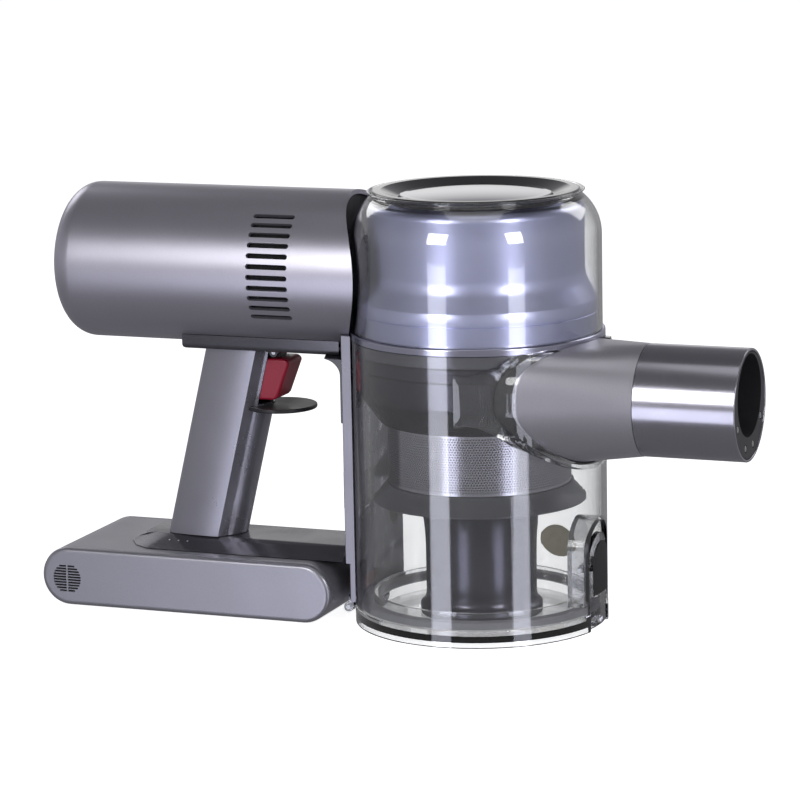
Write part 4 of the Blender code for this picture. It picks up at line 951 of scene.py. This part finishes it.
cut(door, block("ring_tool", (pocket_x - pocket_wall - 0.0005, -notch, cup_foot + 0.0037),
                (cup_r, notch, ring_top + 0.001)))
rounded(door, 0.0005, 3, 45)
wear(door, clear)
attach(door, "door")
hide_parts("cup_door")
seal_rubber = grained("seal_rubber", (0.16, 0.16, 0.175, 1), (0.22, 0.22, 0.235, 1), 1800, 0.4,
                      0.55, depth=0.1)
seal_low, seal_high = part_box("door_seal")
seal = turned("door_gasket", [(seal_high.y, seal_low.z), (seal_high.y, seal_high.z),
                              (ring_r + gap, seal_high.z), (ring_r + gap, seal_low.z)])
rounded(seal, 0.0005, 3, 45)
wear(seal, seal_rubber)
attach(seal, "door")
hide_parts("door_seal")

# ---- Door latch ------------------------------------------
# Smoked clear lever moulded to the cup's curve, flush in its pocket; an eye on its back turns
# on a pin and its hook holds the door. A black rubber thumb pad is bonded to its face.
smoke = see_through("smoked_plastic", (0.50, 0.50, 0.52, 1), 0.02, 0.06)
pad_low, pad_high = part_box("latch_pad")
lever_low, lever_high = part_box("latch_lever")
pivot_z = 0.0300
lever_in = plate_x - 0.0024
lever = slab("lever_shell", arch(lever_high.y, lever_low.z, lever_high.z), "X", pocket_x,
             cup_r + 0.01)
cut(lever, rod("skin_tool", plate_x, -0.001, 0.08, sides=160), "INTERSECT")
cut(lever, rod("back_tool", lever_in, -0.001, 0.08, sides=160))
cut(lever, block("web_join", (latch_x, -0.009, pivot_z - 0.0015),
                 (lever_in + 0.001, 0.003, pivot_z + 0.0015)), "UNION")
cut(lever, rod("eye_join", 0.0022, -0.009, 0.003, "Y", (latch_x, 0, pivot_z), 32), "UNION")
cut(lever, rod("bore_tool", pin_bore, -0.01, 0.01, "Y", (latch_x, 0, pivot_z), 24))
cut(lever, block("hook_join", (latch_x - 0.0006, -0.005, lever_low.z),
                 (lever_in + 0.001, 0.005, hinge_z)), "UNION")
rounded(lever, 0.0004, 3, 45)
wear(lever, smoke)
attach(lever, "latch")
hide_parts("latch_lever")
pad = slab("thumb_pad", arch(pad_high.y, pad_low.z, pad_high.z), "X", pocket_x, cup_r + 0.01)
cut(pad, rod("skin_tool", plate_x + 0.0012, 0, 0.08, sides=160), "INTERSECT")
cut(pad, rod("back_tool", plate_x + 0.0003, 0, 0.08, sides=160))
rounded(pad, 0.0003, 3, 45)
wear(pad, soft_rubber)
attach(pad, "latch")
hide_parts("latch_pad")

# ---- Inlet duct ------------------------------------------
# Satin lacquered duct, squarer and wider at the cup and round at the nozzle; a black gasket
# and a clear collar close it to the cup's wall.
duct_finish = lacquer("duct_lacquer", (0.50, 0.49, 0.55, 1), (0.64, 0.63, 0.69, 1), 0.38,
                      0.42, metallic=0.9, groove=0.10)
duct_root, duct_spread, duct_drop = 0.026, 0.0164, 0.0083


def duct_body(name, inset, root, end, rings=14):
    """The duct's solid: a round bar whose rings are drawn wider, deeper and squarer."""
    outline = [(0, end)] + [(0.01, end + (root - end) * i / rings) for i in range(rings + 1)]
    body = turned(name, outline + [(0, root)], "X", steps=96, closed=False)
    for vert in body.data.vertices:
        x, y, z = vert.co
        grow = (seam - x) / (seam - duct_root)
        square = 2 + 2 * min(1.0, max(0.0, grow) / 0.7)
        c, s = y / 0.01, z / 0.01
        power = 2 / square if s > 0 else 1.0
        side = nozzle_r - 0.001 * grow if c > 0 else nozzle_r + duct_spread * grow
        tall = nozzle_r if s > 0 else nozzle_r + duct_drop * grow
        vert.co.y = nozzle_y + (side - inset) * abs(c) ** power * (1 if c > 0 else -1)
        vert.co.z = nozzle_z + (tall - inset) * abs(s) ** power * (1 if s > 0 else -1)
    return body


duct = duct_body("duct_shell", 0.0, duct_root, seam)
cut(duct, duct_body("room_tool", 0.0022, duct_root - 0.004, seam + 0.002))
cut(duct, rod("cup_tool", cup_r + gap, 0, 0.2, sides=160))
rounded(duct, 0.0005, 3, 40)
wear(duct, duct_finish)
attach(duct, "cup")
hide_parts("inlet_duct")
for name, inner, outer, reach, finish, slot_name in (
        ("duct_gasket", 0.0002, 0.0012, 0.0014, soft_rubber, "rubber"),
        ("duct_collar", 0.0013, 0.0036, 0.0032, clear, "clear")):
    collar = duct_body(name, -outer, 0.010, seam)
    cut(collar, duct_body("room_tool", -inner, 0.006, seam + 0.002))
    cut(collar, rod("cup_tool", cup_r + gap, 0, 0.2, sides=160))
    cut(collar, rod("limit_tool", cup_r + reach, 0, cup_high.z + 0.0005, sides=160), "INTERSECT")
    cut(collar, block("side_tool", (0, -0.09, 0.05), (0.09, 0.0001 - cup_r, 0.16)))
    rounded(collar, 0.0003, 2, 45)
    wear(collar, finish)
    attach(collar, "cup")

# ---- Nozzle ----------------------------------------------
# Metal sleeve turned and lacquered bright satin, over a black moulded liner with an offset
# bore; four steel contacts in the liner feed a powered head.
nozzle_finish = lacquer("nozzle_lacquer", (0.37, 0.36, 0.415, 1), (0.48, 0.47, 0.53, 1), 0.17,
                        0.22, metallic=0.9, stretch=(14, 1500, 1500), groove=0.04)
sleeve_wall = 0.0013
sleeve = turned("nozzle_shell", [(nozzle_r, sleeve_low.x), (nozzle_r, nozzle_end),
                                 (nozzle_r - sleeve_wall, nozzle_end),
                                 (nozzle_r - sleeve_wall, sleeve_low.x)],
                "X", (0, nozzle_y, nozzle_z), 160)
rounded(sleeve, 0.0004, 4, 45)
wear(sleeve, nozzle_finish)
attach(sleeve, "cup")
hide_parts("nozzle_sleeve")
liner_low, liner_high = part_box("nozzle_liner")
bore_r, bore_z, contact_r, circle = 0.0195, 0.1184, 0.0016, 0.0205
plug = rod("nozzle_plug", (liner_high.y - liner_low.y) / 2, liner_low.x, liner_high.x, "X",
           (0, nozzle_y, nozzle_z), 128)
cut(plug, rod("bore_tool", bore_r, 0.08, 0.15, "X", (0, nozzle_y, bore_z), 128))
for number, angle in enumerate((-156, -107.5, -72.5, -24), 1):
    at = (0, nozzle_y + circle * cos(radians(angle)), nozzle_z + circle * sin(radians(angle)))
    cut(plug, rod("hole_tool", contact_r + gap, liner_high.x - 0.006, 0.15, "X", at, 24))
    tip = rod("contact_tip_%d" % number, contact_r, liner_high.x - 0.005, liner_high.x, "X", at,
              24)
    rounded(tip, 0.0004, 3, 50)
    wear(tip, spring_steel)
    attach(tip, "cup")
    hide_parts("nozzle_contact_%d" % number)
rounded(plug, 0.0004, 3, 50)
wear(plug, black_moulding)
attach(plug, "cup")
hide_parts("nozzle_liner")

# ---- Trim ring -------------------------------------------
# Bright plated metal ring, turned to a soft edge, that closes the joint between the cup and the
# shell above and lifts away with the cyclone.
plating = lacquer("plated_trim", (0.52, 0.52, 0.66, 1), (0.62, 0.62, 0.76, 1), 0.16, 0.24,
                  metallic=1.0, groove=0.02)
trim_low, trim_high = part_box("cup_ring")
shell_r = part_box("top_shell")[1].y
trim = turned("trim_ring", [(trim_high.y, trim_low.z), (trim_high.y, trim_high.z),
                            (shell_r - 0.003, trim_high.z), (shell_r - 0.003, trim_low.z)],
              steps=160)
rounded(trim, 0.0009, 5, 45)
wear(trim, plating)
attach(trim, "cyclone")
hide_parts("cup_ring")

# ---- Upper shell -----------------------------------------
# Clear moulded shell over the plated cover, with a round shoulder and a lip that holds the
# filter cap; a round port at the rear lets the air through to the motor.
shell_low, shell_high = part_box("top_shell")
cap_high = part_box("cap_ring")[1]
cap_r = cap_high.y
centre = (shell_r - 0.024, shell_high.z - 0.0215)
lip = arc((cap_r + 0.0016, shell_high.z - 0.0008), 0.0008, 40, 130, 5)
profile = [(shell_r, shell_low.z)] + arc(centre, 0.024, 0, 53, 14) + lip + \
    [(cap_r + gap, shell_high.z - 0.0012), (cap_r + gap, shell_high.z - 0.002)] + \
    arc(centre, 0.022, 48, 0, 12) + [(shell_r - 0.002, shell_low.z)]
shell = turned("upper_shell", profile, steps=160)
port_r = 0.0165
cut(shell, rod("port_tool", port_r, -0.08, -0.03, "X", (0, 0, barrel_z), 96))
wear(settle(shell, 50), clear)
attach(shell, "cyclone")
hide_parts("top_shell")

# ---- Plated cover ----------------------------------------
# Thin plated cover inside the shell: a straight body with a rounded shoulder, flared through a
# soft curve to the collar at its foot.
cover_finish = lacquer("lavender_plating", (0.60, 0.62, 0.88, 1), (0.69, 0.71, 0.97, 1), 0.28,
                       0.32, metallic=1.0, stretch=(1500, 1500, 14), groove=0.015)
flare_r, cover_r, cover_wall = 0.0572, 0.0515, 0.0012
foot = shell_low.z
shoulder = shell_high.z - 0.010
curve = [(flare_r, foot), (flare_r, foot + 0.0088), (flare_r - 0.0003, foot + 0.0091),
         (flare_r, foot + 0.0094), (flare_r, foot + 0.0150), (flare_r - 0.0004, foot + 0.0157)]
bend = 0.0160
bend_high = foot + 0.0157 + 0.0142
curve += [(cover_r + bend * (1 - cos(radians(tilt))), bend_high - bend * sin(radians(tilt)))
          for tilt in range(30, -1, -3)]
curve += arc((cover_r - 0.0045, shoulder), 0.0045, 0, 75, 8)
curve.append((cap_r - 0.0085, shell_high.z - 0.0052))
back_side = [(r - cover_wall, h - (cover_wall if h > shoulder else 0)) for r, h in curve[::-1]]
cover = turned("plated_cover", curve + back_side, steps=160)
cut(cover, rod("port_tool", port_r, -0.08, -0.03, "X", (0, 0, barrel_z), 96))
wear(settle(cover, 50), cover_finish)
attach(cover, "cyclone")
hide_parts("metal_cover")

# ---- Cyclone shroud --------------------------------------
# Dark lacquered head of the cyclone, moulded with a lighter band under the ring, stepped
# below it and coned down to the mesh.
smoke_lacquer = lacquer("smoke_lacquer", (0.095, 0.092, 0.115, 1), (0.12, 0.117, 0.145, 1),
                        0.20, 0.25, metallic=1.0, groove=0.01)
band_lacquer = lacquer("band_lacquer", (0.21, 0.21, 0.235, 1), (0.25, 0.25, 0.28, 1), 0.2, 0.3,
                       metallic=1.0, groove=0.02)
head_low, head_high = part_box("cyclone_shroud")
mesh_low, mesh_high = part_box("mesh_screen")
mesh_r = mesh_high.y
shroud_r = head_high.y
reach = shell_r - 0.0033
outer = [(reach, head_high.z), (reach, cup_high.z), (shroud_r, cup_high.z),
         (shroud_r, 0.1324), (shroud_r - 0.0006, 0.1322), (shroud_r - 0.0006, 0.1256),
         (shroud_r - 0.0012, 0.1252), (shroud_r - 0.0016, 0.1130),
         (shroud_r - 0.0026, 0.1104), (mesh_r + 0.0052, 0.1010), (mesh_r + 0.0032, head_low.z)]
inner = [(mesh_r - 0.0010, head_low.z), (shroud_r - 0.0061, 0.1130), (reach - 0.0036,
                                                                     head_high.z)]
head = turned("shroud_head", outer + inner, steps=160)
rounded(head, 0.0003, 2, 30)
wear(head, smoke_lacquer, band_lacquer)
for face in head.data.polygons:
    face.material_index = 1 if face.center.z > 0.1323 and \
        Vector(face.center[:2]).length > shroud_r - 0.0010 else 0
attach(head, "cyclone")
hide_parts("cyclone_shroud")

# ---- Mesh screen -----------------------------------------
# Etched steel screen: thousands of small holes in staggered rows, one pair of holes repeated
# round and up the screen and then wrapped to a cylinder; a plain rolled edge at either end.
screen_steel = grained("screen_steel", (0.55, 0.54, 0.60, 1), (0.70, 0.69, 0.76, 1), 2500, 0.18,
                       0.28, metallic=1.0, depth=0.05)
around, pairs = 204, 11
pitch = 2 * pi * mesh_r / around
band, sheet = 0.0012, 0.0006
row_tall = (mesh_high.z - mesh_low.z - 2 * band) / (2 * pairs)
bpy.ops.object.select_all(action="DESELECT")
bpy.ops.mesh.primitive_circle_add(vertices=6, radius=0.00043)
screen = bpy.context.object
screen.name = screen.data.name = "steel_screen"
edit(screen)
bpy.ops.mesh.select_mode(type="EDGE")
bpy.ops.mesh.extrude_edges_move()
net = bmesh.from_edit_mesh(screen.data)
for vert in net.verts:
    x, y = vert.co.x, vert.co.y
    if vert.select:
        side = 0 if abs(x) < 0.0001 else (1 if x > 0 else -1)
        vert.co = (side * pitch / 2, 0, (1 if y > 0 else -1) * row_tall / 2)
    else:
        vert.co = (x, 0, y)
bmesh.update_edit_mesh(screen.data)
bpy.ops.object.mode_set(mode="OBJECT")
screen = joined([screen, copied(screen, "second_row",
                                Matrix.Translation((pitch / 2, 0, row_tall)))])
for count, offset in ((around, (pitch, 0, 0)), (pairs, (0, 0, 2 * row_tall))):
    step = screen.modifiers.new("repeat", "ARRAY")
    step.use_relative_offset = False
    step.use_constant_offset = True
    step.constant_offset_displace = offset
    step.count = count
    step.use_merge_vertices = True
    step.merge_threshold = 0.00001
    apply_step(screen, step)
for vert in screen.data.vertices:
    x, _, z = vert.co
    vert.co = (mesh_r * cos(x / mesh_r), mesh_r * sin(x / mesh_r),
               mesh_low.z + band + row_tall / 2 + z)
edges = [turned("screen_band", [(mesh_r, low), (mesh_r, low + band)], steps=2 * around,
                closed=False) for low in (mesh_low.z, mesh_high.z - band)]
screen = joined([screen] + edges)
edit(screen)
bpy.ops.mesh.remove_doubles(threshold=0.00002)
bpy.ops.mesh.normals_make_consistent(inside=False)
bpy.ops.object.mode_set(mode="OBJECT")
step = screen.modifiers.new("thickness", "SOLIDIFY")
step.thickness = sheet
step.offset = -1
apply_step(screen, step)
wear(settle(screen, 30), screen_steel)
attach(screen, "cyclone")
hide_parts("mesh_screen")

# ---- Skirt -----------------------------------------------
# Satin moulded skirt flared out under the mesh, thin at its lip, with a floor that carries the
# dust tube.
skirt_low, skirt_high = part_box("shroud_skirt")
skirt_r = skirt_high.y
tube_low, tube_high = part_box("dust_tube")
tube_r = tube_high.y - 0.0051
curve = [(mesh_r + 0.0008, skirt_high.z)]
for step in range(1, 9):
    share = step / 8
    curve.append((mesh_r + 0.0008 + (skirt_r - mesh_r - 0.0008) * share,
                  skirt_high.z - (skirt_high.z - skirt_low.z - 0.0008) * share ** 0.85))
curve += [(skirt_r, skirt_low.z), (skirt_r - 0.0014, skirt_low.z),
          (mesh_r - 0.0008, skirt_high.z - 0.0024), (tube_r + 0.0055, skirt_high.z - 0.0024),
          (tube_r + 0.0055, skirt_high.z - 0.0002), (mesh_r - 0.001, skirt_high.z - 0.0002)]
skirt = turned("flared_skirt", curve, steps=160)
rounded(skirt, 0.0004, 3, 50)
skirt_finish = lacquer("skirt_lacquer", (0.058, 0.057, 0.066, 1), (0.085, 0.084, 0.097, 1),
                       0.34, 0.45, metallic=0.4, groove=0.05)
wear(skirt, skirt_finish)
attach(skirt, "cyclone")
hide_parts("shroud_skirt")

# ---- Dust tube -------------------------------------------
# Gloss moulded tube below the skirt, drawn in to a straight barrel and flared again to a lip
# that stands on its soft seal.
tube_top, tube_foot = tube_high.z, tube_low.z
lip_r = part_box("tube_seal")[1].y
outer = []
for step in range(17):
    share = step / 16
    outer.append((tube_r + 0.0050 * (1 - share) ** 2.4, tube_top - 0.0330 * share))
outer += [(tube_r, tube_foot + 0.0075), (tube_r + 0.0003, tube_foot + 0.0055),
          (tube_r + 0.0010, tube_foot + 0.0038), (lip_r, tube_foot + 0.0021),
          (lip_r, tube_foot)]
inner = [(lip_r - 0.0040, tube_foot), (tube_r - 0.0017, tube_foot + 0.0051),
         (tube_r - 0.0017, tube_top - 0.0300), (tube_r + 0.0030, tube_top)]
pipe = turned("dust_pipe", outer + inner, steps=160)
rounded(pipe, 0.0003, 2, 45)
wear(pipe, smoke_lacquer)
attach(pipe, "cyclone")
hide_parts("dust_tube")

# ---- Filter cap ------------------------------------------
# Lift-out cap: a piano-black dished ring round a mirror-polished disc; the pleated filter
# hangs below it.
piano = lacquer("piano_black", (0.016, 0.016, 0.018, 1), (0.020, 0.020, 0.023, 1), 0.03, 0.07,
                metallic=0.0, groove=0.0, coat=0.6, coat_rough=0.03)
mirror = lacquer("mirror_disc", (0.58, 0.57, 0.60, 1), (0.62, 0.61, 0.64, 1), 0.04, 0.08,
                 metallic=1.0, groove=0.0)
top = cap_high.z
disc_low, disc_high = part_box("cap_disc")
disc_r = disc_high.y
profile = [(cap_r, top - 0.0048)] + arc((cap_r - 0.0012, top - 0.0012), 0.0012, 0, 90, 6) + \
    [(cap_r - 0.0040, top)] + arc((cap_r - 0.0042, top - 0.0012), 0.0012, 90, 112, 3) + \
    [(disc_r + 0.0018, top - 0.0033), (disc_r + 0.0007, top - 0.0036),
     (disc_r + 0.0007, top - 0.0060)]
cap = turned("cap_rim", profile, steps=160)
wear(settle(cap, 30), piano)
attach(cap, "filter")
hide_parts("cap_ring")
dome = [(0, top - 0.0002)] + [(disc_r * share / 20, top - 0.0002 - 0.0021 * (share / 20) ** 2)
                              for share in range(1, 20)]
dome += arc((disc_r - 0.0006, top - 0.0027), 0.0006, 80, 0, 4)
disc = turned("cap_mirror", dome + [(disc_r, disc_low.z), (0, disc_low.z)], steps=160,
              closed=False)
wear(settle(disc, 30), mirror)
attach(disc, "filter")
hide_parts("cap_disc")
filter_paper = grained("filter_paper", (0.62, 0.61, 0.56, 1), (0.78, 0.77, 0.72, 1), 1800, 0.8,
                       0.95, depth=0.3)
wear(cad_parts["pleated_filter"], filter_paper)
